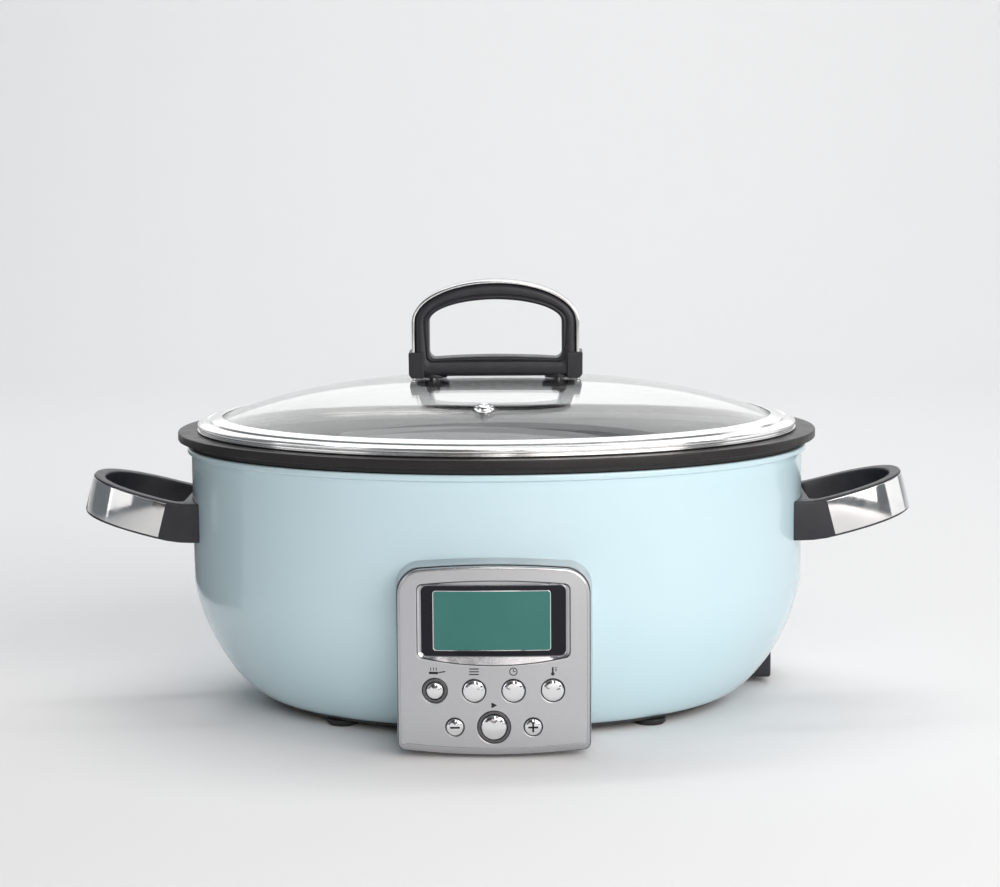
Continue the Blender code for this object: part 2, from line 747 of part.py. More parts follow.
def strip_path(offset, foot, count=18):
    """Open (x, z) path of the steel strip over the arch, offset outwards."""
    half, rise = ARCH_HALF + offset, ARCH_RISE + offset
    over = []
    for i in range(count + 1):
        angle = math.pi * i / count
        over.append((half * math.cos(angle), ARCH_SPRING + rise * math.sin(angle)))
    return [(half, foot), *over, (-half, foot)]


def strip(name, inner, outer, foot, half_depth, look_name):
    sections = []
    for (xi, zi), (xo, zo) in zip(strip_path(inner, foot), strip_path(outer, foot)):
        sections.append([(xi, -half_depth, zi), (xo, -half_depth, zo), (xo, half_depth, zo), (xi, half_depth, zi)])
    return loft(name, sections, look_name)


BOSS_FOOT = glass_height(LID_SCREW_X - 8.5 * MM, 0) + GAP


def lid_handle():
    outer = arch_outline(ARCH_HALF, ARCH_RISE, ARCH_FOOT, 2 * MM)
    inner = arch_outline(WINDOW_HALF, WINDOW_RISE, WINDOW_FOOT, 4 * MM)
    flat, full, edge = 6.5 * MM, 9 * MM, 2.5 * MM
    sections = []
    for (xo, zo), (xi, zi) in zip(outer, inner):
        out_point, in_point = Vector((xo, 0, zo)), Vector((xi, 0, zi))
        inward = (in_point - out_point).normalized() * edge
        section = []
        for side in (-1, 1):
            pair = [
                out_point + Vector((0, side * flat, 0)),
                out_point + inward + Vector((0, side * full, 0)),
                in_point - inward + Vector((0, side * full, 0)),
                in_point + Vector((0, side * flat, 0)),
            ]
            section += pair if side < 0 else pair[::-1]
        sections.append(section)
    grip = loft("lid_handle_grip", sections, "black_plastic", ring=True)
    for i, side in enumerate((-1, 1)):
        x = side * LID_SCREW_X
        low = Vector((min(side * 43.2, side * 52.7) * MM, -10.6 * MM, ARCH_FOOT - 1.1 * MM))
        high = Vector((max(side * 43.2, side * 52.7) * MM, 10.6 * MM, 214.8 * MM))
        boolean(grip, box(f"clip_{i}", low, high, None), "UNION")
        boss = [
            (0, 205 * MM),
            (8.5 * MM, 205 * MM),
            (8.5 * MM, BOSS_FOOT),
            (0, BOSS_FOOT),
        ]
        boolean(grip, turned(f"boss_{i}", boss, None, oval=False, steps=16, location=(x, 0, 0)), "UNION")
    foot = glass_height(ARCH_HALF + 2 * MM, 0) + 0.4 * MM
    boolean(grip, strip("strip_slot", -0.3 * MM, 2.1 * MM, 180 * MM, 9.3 * MM, None))
    for i, side in enumerate((-1, 1)):
        x = side * LID_SCREW_X
        hole = cylinder(f"handle_thread_{i}", 2.3 * MM, (x, 0, 180 * MM), (x, 0, 207 * MM), None, 18)
        boolean(grip, hole)
    strip("lid_handle_trim", 0, 1.8 * MM, foot, 9 * MM, "bright_steel")


def lid_fasteners():
    """A rubber washer and a screw under the glass at each end of the lid handle."""
    for name, x in (("left", -LID_SCREW_X), ("right", LID_SCREW_X)):
        top = glass_height(LID_SCREW_X + 10 * MM, 0) - GLASS_THICK - GAP
        washer = [
            (2.6 * MM, top),
            (9.4 * MM, top),
            (10 * MM, top - 0.6 * MM),
            (10 * MM, top - 1.4 * MM),
            (2.6 * MM, top - 1.4 * MM),
        ]
        place = {"location": (x, 0, 0)}
        turned(f"lid_washer_{name}", washer, "rubber", oval=False, loop=True, steps=14, **place)
        under = top - 1.4 * MM - GAP
        screw = [
            (0, 205 * MM),
            (2 * MM, 204.5 * MM),
            (2 * MM, under),
            (4.5 * MM, under),
            (4.2 * MM, under - 1.6 * MM),
            (2.5 * MM, under - 2.4 * MM),
            (0, under - 2.6 * MM),
        ]
        turned(f"lid_screw_{name}", screw, "bright_steel", oval=False, steps=14, **place)


# ---------------------------------------------------------------- side handles


def climb(s):
    """(reach, rise, angle) of a side handle's centre line at length s from the oval's axis."""
    bend_radius = HANDLE_BEND_LENGTH / HANDLE_CLIMB
    along = s - HANDLE_BEND_FROM
    if along <= 0:
        return s, 0.0, 0.0
    angle = min(along, HANDLE_BEND_LENGTH) / bend_radius
    reach = HANDLE_BEND_FROM + bend_radius * math.sin(angle)
    rise = bend_radius * (1 - math.cos(angle))
    rest = max(0.0, along - HANDLE_BEND_LENGTH)
    return reach + rest * math.cos(angle), rise + rest * math.sin(angle), angle


def bent(s, y, up):
    """The point at length s, offset y and height up on a side handle's bent centre line."""
    reach, rise, angle = climb(s)
    return Vector((reach - up * math.sin(angle), y, HANDLE_Z + rise + up * math.cos(angle)))


def handle_end(root, half_width, tip, count=18, power=2.3):
    """(s, y) points from one arm's straight part round the tip to the other arm's."""
    found = []
    for i in range(count + 1):
        turn = math.pi * i / count - math.pi / 2
        s = root + (tip - root) * math.cos(turn) ** (2 / power) if abs(turn) < 1.57 else root
        y = math.copysign(half_width * abs(math.sin(turn)) ** (2 / power), turn)
        found.append((s, y))
    return found


def body_reach(y, margin=0.4 * MM):
    """X of the shell's surface, plus a margin, at depth y."""
    half = SHELL_HALF + margin
    return half * math.sqrt(1 - (y / (half * DEPTH_RATIO)) ** 2)


def handle_strap(name, side, out_from, out_to, up, start, look_name):
    """An open band round the handle's end, between two outward offsets, from length start."""
    sections = []
    inner = handle_end(HANDLE_STRAIGHT, HANDLE_HALF_WIDTH + out_from, HANDLE_TIP + out_from)
    outer = handle_end(HANDLE_STRAIGHT, HANDLE_HALF_WIDTH + out_to, HANDLE_TIP + out_to)
    inner = [(start, inner[0][1]), *inner, (start, inner[-1][1])]
    outer = [(start, outer[0][1]), *outer, (start, outer[-1][1])]
    for (si, yi), (so, yo) in zip(inner, outer):
        section = [bent(si, yi, -up), bent(so, yo, -up), bent(so, yo, up), bent(si, yi, up)]
        sections.append([(side * p.x, p.y, p.z) for p in section])
    return loft(name, sections, look_name)


def side_handle(name, side):
    half, tip, straight = HANDLE_HALF_WIDTH, HANDLE_TIP, HANDLE_STRAIGHT
    outer = [(body_reach(half), -half), (189 * MM, -half), *handle_end(straight, half, tip)]
    outer += [(189 * MM, half), (body_reach(half), half)]
    root = 189.5 * MM
    inner_half, inner_tip = half - STRAP_THICK, tip - STRAP_THICK
    inner = [(root, -inner_half + 8 * MM), (root + 3 * MM, 1.5 * MM - inner_half)]
    inner += handle_end(straight, inner_half, inner_tip)
    inner += [(root + 3 * MM, inner_half - 1.5 * MM), (root, inner_half - 8 * MM)]
    back_steps = 6
    for i in range(1, back_steps):
        t = 1 - 2 * i / back_steps
        outer.append((body_reach(t * half), t * half))
        inner.append((root, t * (inner_half - 8 * MM)))
    tall, edge = HANDLE_HEIGHT / 2, 1 * MM
    sections = []
    for (so, yo), (si, yi) in zip(outer, inner):
        inward = Vector((si - so, yi - yo)).normalized() * edge
        a, b = (so + inward.x, yo + inward.y), (si - inward.x, yi - inward.y)
        section = [
            bent(so, yo, edge - tall),
            bent(so, yo, tall - edge),
            bent(*a, tall),
            bent(*b, tall),
            bent(si, yi, tall - edge),
            bent(si, yi, edge - tall),
            bent(*b, -tall),
            bent(*a, -tall),
        ]
        sections.append([(side * p.x, p.y, p.z) for p in section])
    grip = loft(name + "_grip", sections, "black_plastic", ring=True)
    recess = handle_strap(name + "_recess", side, -1.1 * MM, 3 * MM, 11 * MM, 200.3 * MM, None)
    boolean(grip, recess)
    handle_strap(name + "_trim", side, -0.8 * MM, 0.2 * MM, 10.7 * MM, 200.6 * MM, "bright_steel")
    shell = bpy.data.objects["outer_shell"]
    for label, y in (("front", -34.3 * MM), ("rear", 34.3 * MM)):
        start = (side * 165 * MM, y, HANDLE_Z)
        hole = cylinder(f"{name}_hole_{label}", 2.3 * MM, start, (side * 191 * MM, y, HANDLE_Z), None, 14)
        boolean(grip, hole)
        boolean(shell, hole)
        head = 174.3 * MM
        profile = [
            (0, 189 * MM),
            (2 * MM, 188 * MM),
            (2 * MM, head),
            (3.9 * MM, head),
            (3.6 * MM, head - 1.7 * MM),
            (0, head - 1.7 * MM),
        ]
        place = {"location": (0, y, HANDLE_Z), "rotation": (0, side * math.pi / 2, 0)}
        turned(f"{name}_screw_{label}", profile, "bright_steel", oval=False, steps=12, **place)


# ---------------------------------------------------------------- control panel


def panel_outline(grow):
    """(x, z) outline of the panel: arched top and bottom, larger corners above."""
    half = PANEL_HALF_WIDTH + grow
    low, high = PANEL_BOTTOM - grow, PANEL_TOP + grow
    sag_low, sag_high = 2.8 * MM, 3.3 * MM
    corner_low, corner_high = 4 * MM, 15 * MM

    def arched(x, level, sag):
        return level + sag * (x / half) ** 2

    outline = []
    for i in range(9):
        x = (half - corner_low) * (i / 4 - 1)
        outline.append((x, arched(x, low, sag_low)))
    corner = outline[-1][1] + corner_low
    outline += arc(half - corner_low, corner, corner_low, -80, 0, 3)
    top_x = half - corner_high
    shoulder = arched(top_x, high, -sag_high) - corner_high
    outline += arc(top_x, shoulder, corner_high, 0, 78, 5)
    for i in range(1, 8):
        x = top_x * (1 - i / 4)
        outline.append((x, arched(x, high, -sag_high)))
    outline += arc(-top_x, shoulder, corner_high, 102, 180, 5)
    outline += arc(corner_low - half, corner, corner_low, 180, 260, 3)
    return outline


def lens_outline(grow):
    """(x, z) outline of the display recess: straight sides, bowed top and bottom."""
    half, low, high = 42.6 * MM + grow, 58.5 * MM - grow, 98.9 * MM + grow
    bow_low, bow_high = 4.4 * MM, 2.6 * MM
    corner = 3 * MM
    outline = []
    for i in range(13):
        x = (half - corner) * (i / 6 - 1)
        outline.append((x, low - bow_low * (1 - (x / (half - corner)) ** 2)))
    outline += arc(half - corner, low + corner, corner, -60, 0, 2)
    outline += arc(half - corner, high - corner, corner, 0, 60, 2)
    for i in range(13):
        x = (half - corner) * (1 - i / 6)
        outline.append((x, high + bow_high * (1 - (x / (half - corner)) ** 2)))
    outline += arc(corner - half, high - corner, corner, 120, 180, 2)
    outline += arc(corner - half, low + corner, corner, 180, 240, 2)
    return outline


def panel_drum(name, depth):
    """A vertical drum whose surface lies depth behind the panel's front."""
    axis_y = PANEL_RADIUS - PANEL_FRONT
    radius = PANEL_RADIUS - depth
    start, end = (0, axis_y, -20 * MM), (0, axis_y, 140 * MM)
    return cylinder(name, radius, start, end, None, 240)


def curved_plate(name, outline, depth, thickness, look_name):
    """An (x, z) outline between two surfaces parallel to the panel's curved front."""
    plate = slab(name, outline, -PANEL_FRONT - 5 * MM, -PANEL_FRONT + 12 * MM, look_name)
    boolean(plate, panel_drum(name + "_front", depth), "INTERSECT")
    boolean(plate, panel_drum(name + "_back", depth + thickness))
    return plate


def control_housing():
    housing = slab("control_housing", panel_outline(0.8 * MM), -PANEL_FRONT, -88 * MM, "silver_panel")
    boolean(housing, panel_drum("housing_front", FASCIA_THICK + GAP), "INTERSECT")
    boolean(housing, slab("housing_inside", panel_outline(-1.6 * MM), -160 * MM, -80 * MM, None))
    boolean(housing, bpy.data.objects["body_envelope"])
    return housing


def control_fascia():
    fascia = curved_plate("control_fascia", panel_outline(0), 0, FASCIA_THICK, "silver_panel")
    boolean(fascia, slab("display_cut", lens_outline(0.3 * MM), -160 * MM, -135 * MM, None))
    for name, (x, z, cap, ring) in BUTTONS.items():
        hole = max(cap, ring) + GAP
        ends = (x, -160 * MM, z), (x, -135 * MM, z)
        boolean(fascia, cylinder(name + "_hole", hole, *ends, None, 20))
    return fascia


def display():
    bezel = curved_plate("display_bezel", lens_outline(0), 1 * MM, 1.6 * MM, "chrome")
    frame = rounded_rectangle(41.3 * MM, 58.9 * MM, 98.9 * MM, 3 * MM)
    boolean(bezel, slab("bezel_cut", frame, -160 * MM, -135 * MM, None))
    pane = rounded_rectangle(41.0 * MM, 59.2 * MM, 98.6 * MM, 2.8 * MM)
    curved_plate("display_window", pane, 1.3 * MM, 1.6 * MM, "smoked_window")
    screen = rounded_rectangle(33 * MM, 62.2 * MM, 96 * MM, 0.8 * MM, 2)
    slab("lcd_screen", screen, -145.4 * MM, -141.6 * MM, "lcd_green")


def panel_surface(x, depth=0.0):
    """Y of the panel's front, set back by depth, at x."""
    axis_y = PANEL_RADIUS - PANEL_FRONT
    return axis_y - math.sqrt((PANEL_RADIUS - depth) ** 2 - x * x)


MAT_FRONT = -141 * MM


def buttons():
    """Domed caps, with a retaining flange behind the fascia and a stem to the key mat."""
    for name, (x, z, cap, ring) in BUTTONS.items():
        face = panel_surface(x)
        shown = BUTTON_PROUD - 0.5 * MM
        # Heights along the button's own axis, which points out of the panel.
        flange = face - panel_surface(x, FASCIA_THICK) - 0.6 * MM
        stem_end = face - (MAT_FRONT - 1.3 * MM)
        profile = [
            (0, shown + 0.5 * MM),
            (cap * 0.5, shown + 0.35 * MM),
            (cap * 0.85, shown),
            (cap, shown - 0.6 * MM),
            (cap, flange),
            (cap + 1 * MM, flange),
            (cap + 1 * MM, flange - 1 * MM),
            (2 * MM, flange - 1 * MM),
            (2 * MM, stem_end),
            (0, stem_end),
        ]
        place = {"location": (x, face, z), "rotation": (math.pi / 2, 0, 0)}
        turned(name, profile, "chrome", oval=False, steps=20, **place)
        if ring:
            band = [
                (ring, 0.5 * MM),
                (ring, -2 * MM),
                (cap + GAP, -2 * MM),
                (cap + GAP, 0.5 * MM),
            ]
            ring_name = name.replace("button", "light_ring")
            turned(ring_name, band, "smoked_window", oval=False, loop=True, steps=20, **place)


def key_mat_and_board():
    outline = rounded_rectangle(42 * MM, 10.3 * MM, 48.3 * MM, 3 * MM, 2)
    slab("key_mat", outline, MAT_FRONT, MAT_FRONT + 1.2 * MM, "silicone")
    board = rounded_rectangle(46 * MM, 8.3 * MM, 100.3 * MM, 2 * MM, 2)
    back = MAT_FRONT + 1.2 * MM + GAP
    slab("control_board", board, back, back + 1.6 * MM, "circuit_board")


# ---------------------------------------------------------------- assembly


def main():
    outer_shell()
    rim_ring()
    heat_liner()
    base_cover()
    feet_and_base_screws()
    heater()
    sensor()
    electronics()
    leads()
    inlet()
    inner_pot()
    lid_glass()
    lid_rim()
    lid_vent()
    lid_handle()
    lid_fasteners()
    side_handle("handle_left", -1)
    side_handle("handle_right", 1)
    control_housing()
    control_fascia()
    display()
    buttons()
    key_mat_and_board()


main()
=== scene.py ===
"""The looks of the slow cooker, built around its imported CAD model.

Shapes are made in millimetres, +Z up, and the control panel faces -Y. Most pieces stand for
a CAD node of the same name, with the node's own sizes and finer shapes.
"""

import math

import bmesh
import bpy
from mathutils import Matrix, Vector
from mathutils.geometry import delaunay_2d_cdt


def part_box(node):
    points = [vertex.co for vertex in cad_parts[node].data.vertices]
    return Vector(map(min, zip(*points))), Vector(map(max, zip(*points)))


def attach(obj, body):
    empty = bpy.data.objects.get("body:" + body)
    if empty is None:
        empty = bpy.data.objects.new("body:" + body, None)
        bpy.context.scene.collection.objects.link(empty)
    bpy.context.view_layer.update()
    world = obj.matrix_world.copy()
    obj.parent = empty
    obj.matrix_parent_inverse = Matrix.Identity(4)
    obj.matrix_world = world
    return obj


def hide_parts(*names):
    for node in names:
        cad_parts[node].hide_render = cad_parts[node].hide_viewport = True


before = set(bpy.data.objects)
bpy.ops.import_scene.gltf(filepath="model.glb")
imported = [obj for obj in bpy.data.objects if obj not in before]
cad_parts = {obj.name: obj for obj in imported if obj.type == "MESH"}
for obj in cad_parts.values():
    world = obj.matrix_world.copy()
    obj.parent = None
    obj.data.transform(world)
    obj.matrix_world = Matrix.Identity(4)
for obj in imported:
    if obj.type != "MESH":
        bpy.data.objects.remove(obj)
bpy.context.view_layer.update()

MM = 0.001
RATIO = 0.72                     # half depth over half length of the oval pieces
FLIP = Matrix.Rotation(math.pi, 4, "X")


def box(node):
    """The low and high corners of a CAD node, in millimetres."""
    return [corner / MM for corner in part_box(node)]


def middle(node):
    low, high = box(node)
    return (low + high) / 2


OVAL_Y = middle("inner_pot").y
FLANGE_TOP = box("inner_pot")[1].z


# ---------------------------------------------------------------- shapes


def new_object(name, verts, faces, material, angle=32, unit=MM):
    """A mesh with its faces turned outwards, smooth up to the given angle."""
    mesh = bpy.data.meshes.new(name)
    mesh.from_pydata([tuple(Vector(v) * unit) for v in verts], [], faces)
    shape = bmesh.new()
    shape.from_mesh(mesh)
    bmesh.ops.recalc_face_normals(shape, faces=shape.faces)
    shape.to_mesh(mesh)
    shape.free()
    mesh.materials.append(material)
    mesh.shade_smooth()
    mesh.set_sharp_from_angle(angle=math.radians(angle))
    obj = bpy.data.objects.new(name, mesh)
    bpy.context.scene.collection.objects.link(obj)
    return obj


def place(obj, body, slot, *nodes):
    """Rides a piece on its body, and lets it stand for CAD nodes."""
    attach(obj, body)
    if nodes:
        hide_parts(*nodes)


def rounded(points, radius, closed=False, segments=4):
    """A 2D path with round corners. radius is one number, or one for each point."""
    count = len(points)
    radii = radius if isinstance(radius, (list, tuple)) else [radius] * count
    path = []
    for i, point in enumerate(points):
        here = Vector(point)
        if radii[i] <= 0 or (not closed and i in (0, count - 1)):
            path.append(tuple(point))
            continue
        back, ahead = Vector(points[i - 1]) - here, Vector(points[(i + 1) % count]) - here
        reach = min(back.length, ahead.length) * 0.48
        back.normalize()
        ahead.normalize()
        corner = back.angle(ahead)
        if corner > math.pi - 0.02:
            path.append(tuple(point))
            continue
        reach = min(radii[i] / math.tan(corner / 2), reach)
        for k in range(segments + 1):
            t = k / segments
            start, end = here + back * reach, here + ahead * reach
            path.append(tuple(start * (1 - t) ** 2 + here * (2 * t * (1 - t)) + end * t * t))
    return path


def arc(cx, cy, radius, start, end, count):
    """Points on an arc, angles in degrees."""
    turns = [math.radians(start + (end - start) * i / count) for i in range(count + 1)]
    return [(cx + radius * math.cos(t), cy + radius * math.sin(t)) for t in turns]


def turned(name, profile, material, ratio=RATIO, steps=160, closed=False, angle=32, at=None):
    """Turns (radius, height) points about the oval's axis, or about the Z axis of matrix at."""
    at = at or Matrix.Translation((0, OVAL_Y, 0))
    turns = [2 * math.pi * i / steps for i in range(steps)]
    rings, verts, faces = [], [], []
    for r, z in profile:
        start = len(verts)
        if r > 0:
            rings.append(list(range(start, start + steps)))
            verts += [(r * math.cos(t), ratio * r * math.sin(t), z) for t in turns]
        else:
            rings.append([start] * steps)
            verts.append((0, 0, z))
    pairs = list(zip(rings, rings[1:] + rings[:1]))
    for above, below in pairs if closed else pairs[:-1]:
        for i in range(steps):
            j = (i + 1) % steps
            quad = list(dict.fromkeys([above[i], above[j], below[j], below[i]]))
            if len(quad) > 2:
                faces.append(quad)
    return new_object(name, [at @ Vector(v) for v in verts], faces, material, angle)


def knob(name, points, radii, material, at, steps=48, segments=4, closed=False):
    """A piece with rounded corners, turned about the Z axis of matrix at."""
    return turned(name, rounded(points, radii, closed, segments), material, 1, steps, closed, at=at)


def loft(name, sections, material, ring=False, angle=32):
    """Joins equal closed sections one after the other, as a ring or with flat ends."""
    size, count = len(sections[0]), len(sections)
    faces = []
    for i in range(count if ring else count - 1):
        j = (i + 1) % count
        for k in range(size):
            m = (k + 1) % size
            faces.append((i * size + k, i * size + m, j * size + m, j * size + k))
    if not ring:
        faces.append(tuple(range(size)))
        faces.append(tuple((count - 1) * size + k for k in range(size)))
    return new_object(name, [p for s in sections for p in s], faces, material, angle)


def inset(loop, amount):
    """A counter-clockwise loop moved inwards by amount, one number or one for each point."""
    count = len(loop)
    moved = []
    for i, point in enumerate(loop):
        step = amount[i] if isinstance(amount, (list, tuple)) else amount
        here = Vector(point)
        before = (here - Vector(loop[i - 1])).normalized()
        after = (Vector(loop[(i + 1) % count]) - here).normalized()
        normal = Vector((-before.y - after.y, before.x + after.x))
        normal.normalize()
        lean = max(0.35, normal.dot(Vector((-before.y, before.x))))
        moved.append(tuple(here + normal * (step / lean)))
    return moved


def inside(point, loop):
    """True where a point's line to the side crosses the loop an odd number of times."""
    x, y = point
    hit = False
    for (x1, y1), (x2, y2) in zip(loop, loop[1:] + loop[:1]):
        if (y1 > y) != (y2 > y) and x < (x2 - x1) * (y - y1) / (y2 - y1) + x1:
            hit = not hit
    return hit


def loop_edges(loops):
    """Pairs of neighbouring points, numbered through all the loops."""
    found, start = [], 0
    for loop in loops:
        found += [(start + i, start + (i + 1) % len(loop)) for i in range(len(loop))]
        start += len(loop)
    return found


def filled(loops, spacing):
    """Triangles that fill the first loop around the holes, with points every spacing."""
    outline, *holes = loops

    def clear(spot):
        return inside(spot, outline) and not any(inside(spot, hole) for hole in holes)

    rim = [Vector(p) for loop in loops for p in loop]
    points = [p for loop in loops for p in loop]
    if spacing:
        (x0, x1), (y0, y1) = [(min(c), max(c)) for c in zip(*outline)]
        for i in range(1, int((x1 - x0) / spacing)):
            for j in range(1, int((y1 - y0) / spacing)):
                spot = (x0 + i * spacing, y0 + j * spacing)
                near = min((Vector(spot) - p).length for p in rim)
                if near > spacing * 0.45 and clear(spot):
                    points.append(spot)
    made = delaunay_2d_cdt([Vector(p) for p in points], loop_edges(loops), [], 0, 1e-6, False)
    if len(made[0]) != len(points):
        raise RuntimeError("a plate's outlines touch each other")
    triangles = []
    for face in made[2]:
        if clear(sum((Vector(made[0][i]) for i in face), Vector((0, 0))) / len(face)):
            triangles.append(list(face))
    return points, triangles


# The front edge of a plate, as (inwards, down) parts of its radius.
QUARTER = [(1.0, 0.0), (0.617, 0.076), (0.293, 0.293), (0.076, 0.617), (0.0, 1.0)]


def plate(name, loops, mapping, thick, material, edge=0.4, spacing=0, edges=None):
    """A plate with rounded front edges around its outline and holes.

    loops are counter-clockwise, the outline first. mapping(u, v, depth) gives the point that
    lies that deep behind the front. edges gives each loop's radii, one for each of its points,
    and a radius may be a pair: across and deep.
    """
    edges = edges or [[edge] * len(loop) for loop in loops]
    fronts, layers = [], [[] for _ in QUARTER]
    for loop, radii, side in zip(loops, edges, [1] + [-1] * len(loops)):
        radii = [r if isinstance(r, tuple) else (r, r) for r in radii]
        for layer, (across, down) in zip(layers, QUARTER):
            moved = inset(loop, [side * across * wide for wide, _ in radii])
            layer += [(u, v, down * deep) for (u, v), (_, deep) in zip(moved, radii)]
        fronts.append([(u, v) for u, v, _ in layers[0][-len(loop):]])
    layers.append([(u, v, thick) for loop in loops for u, v in loop])
    points, faces = filled(fronts, spacing)
    verts = [mapping(u, v, 0) for u, v in points]
    fence = loop_edges(loops)
    total, previous = len(fence), 0
    for layer in layers[1:]:
        base = len(verts)
        verts += [mapping(*p) for p in layer]
        faces += [(previous + a, previous + b, base + b, base + a) for a, b in fence]
        previous = base
    back_points, back = filled(loops, spacing)
    base = len(verts)
    verts += [mapping(u, v, thick) for u, v in back_points[total:]]
    faces += [[previous + i if i < total else base + i - total for i in t][::-1] for t in back]
    obj = new_object(name, verts, faces, material)
    # The front keeps its own normals, so its shading stays even up to the rounding.
    fence = {frozenset(pair) for pair in fence}
    for crease in obj.data.edges:
        if frozenset(crease.vertices) in fence:
            crease.use_edge_sharp = True
    return obj


def tube(name, points, radius, material):
    """A round tube along points, with flat ends."""
    points = [Vector(p) for p in points]
    turns = [math.pi * k / 4 for k in range(8)]
    sections = []
    side = None
    for i, here in enumerate(points):
        ahead = (points[min(i + 1, len(points) - 1)] - points[max(i - 1, 0)]).normalized()
        side = side or ahead.orthogonal().normalized()
        side = (side - ahead * side.dot(ahead)).normalized()
        up = ahead.cross(side)
        sections.append([here + (side * math.cos(t) + up * math.sin(t)) * radius for t in turns])
    return loft(name, sections, material, angle=60)


def box_mesh(name, low, high, at=Matrix()):
    """A box between two corners, moved by matrix at."""
    corners = [(x, y, z) for x in (low.x, high.x) for y in (low.y, high.y) for z in (low.z, high.z)]
    faces = [(0, 1, 3, 2), (4, 6, 7, 5), (0, 4, 5, 1), (2, 3, 7, 6), (0, 2, 6, 4), (1, 5, 7, 3)]
    return new_object(name, [at @ Vector(c) for c in corners], faces, BASE)


def cut(obj, other, angle=None):
    """Takes other's solid out of obj, and removes it. A given angle sets obj's creases anew."""
    modifier = obj.modifiers.new("Cut", "BOOLEAN")
    modifier.operation = "DIFFERENCE"
    modifier.solver = "EXACT"
    modifier.object = other
    bpy.context.view_layer.update()
    graph = bpy.context.evaluated_depsgraph_get()
    mesh = bpy.data.meshes.new_from_object(obj.evaluated_get(graph))
    old, tool = obj.data, other.data
    obj.modifiers.clear()
    obj.data = mesh
    bpy.data.meshes.remove(old)
    mesh.name = obj.name
    bpy.data.objects.remove(other)
    bpy.data.meshes.remove(tool)
    if angle:
        mesh.set_sharp_from_angle(angle=math.radians(angle))


# ---------------------------------------------------------------- materials


class Surface:
    """A Principled material with procedural detail in real size, in object coordinates."""

    def __init__(self, name, colour, roughness, metallic=0.0):
        self.material = bpy.data.materials.new(name)
        self.material.use_nodes = True
        self.tree = self.material.node_tree
        self.shader = self.tree.nodes["Principled BSDF"]
        self.colour = colour
        self.roughness = roughness
        self.set("Base Color", (*colour, 1))
        self.set("Roughness", roughness)
        self.set("Metallic", metallic)
        self.coords = self.add("ShaderNodeTexCoord").outputs["Object"]
        self.spun = None
        self.bumped = None

    def add(self, kind, **settings):
        node = self.tree.nodes.new(kind)
        for key, value in settings.items():
            setattr(node, key, value)
        return node

    def set(self, socket, value):
        self.shader.inputs[socket].default_value = value
        return self

    def link(self, output, target):
        self.tree.links.new(output, target)

    def math(self, operation, a, b=None):
        node = self.add("ShaderNodeMath", operation=operation)
        for slot, value in enumerate((a, b)):
            if isinstance(value, (int, float)):
                node.inputs[slot].default_value = value
            elif value:
                self.link(value, node.inputs[slot])
        return node.outputs[0]

    def around(self):
        """(radius, height, angle) about the oval's axis, for marks that run round it."""
        split = self.add("ShaderNodeSeparateXYZ")
        self.link(self.coords, split.inputs[0])
        x = self.math("SUBTRACT", split.outputs["X"], 0)
        y = self.math("SUBTRACT", split.outputs["Y"], OVAL_Y * MM)
        y = self.math("DIVIDE", y, RATIO)
        square = self.math("ADD", self.math("MULTIPLY", x, x), self.math("MULTIPLY", y, y))
        join = self.add("ShaderNodeCombineXYZ")
        self.link(self.math("SQRT", square), join.inputs["X"])
        self.link(split.outputs["Z"], join.inputs["Y"])
        # Marks are drawn out along the turn, 3 mm of pattern to a radian.
        turn = self.math("MULTIPLY", self.math("ARCTAN2", y, x), 3 * MM)
        self.link(turn, join.inputs["Z"])
        return join.outputs[0]

    def noise(self, size, detail, spun=False):
        """Noise of a size in millimetres. Spun noise runs round the oval's axis."""
        if spun and not self.spun:
            self.spun = self.around()
        node = self.add("ShaderNodeTexNoise")
        node.inputs["Scale"].default_value = 1 / (size * MM)
        node.inputs["Detail"].default_value = detail
        self.link(self.spun if spun else self.coords, node.inputs["Vector"])
        return node.outputs["Fac"]

    def ramp(self, value, low, high, out_low=0.0, out_high=1.0):
        node = self.add("ShaderNodeMapRange")
        limits = {"From Min": low, "From Max": high, "To Min": out_low, "To Max": out_high}
        for key, number in limits.items():
            node.inputs[key].default_value = number
        self.link(value, node.inputs["Value"])
        return node.outputs[0]

    def vary_colour(self, value, other, low=0.35, high=0.65):
        """Mixes the base colour towards other where value is high."""
        mix = self.add("ShaderNodeMix", data_type="RGBA")
        source = self.shader.inputs["Base Color"]
        if source.is_linked:
            self.link(source.links[0].from_socket, mix.inputs["A"])
        else:
            mix.inputs["A"].default_value = (*self.colour, 1)
        mix.inputs["B"].default_value = (*other, 1)
        self.link(self.ramp(value, low, high), mix.inputs["Factor"])
        self.link(mix.outputs["Result"], source)

    def vary_roughness(self, value, spread):
        floor, ceiling = self.roughness - spread, self.roughness + spread
        self.link(self.ramp(value, 0.3, 0.7, floor, ceiling), self.shader.inputs["Roughness"])

    def bump(self, value, height, strength=1.0):
        """A bump of that height, in millimetres."""
        node = self.add("ShaderNodeBump")
        node.inputs["Strength"].default_value = strength
        node.inputs["Distance"].default_value = height * MM
        self.link(value, node.inputs["Height"])
        if self.bumped:
            self.link(self.bumped, node.inputs["Normal"])
        self.bumped = node.outputs["Normal"]
        self.link(self.bumped, self.shader.inputs["Normal"])


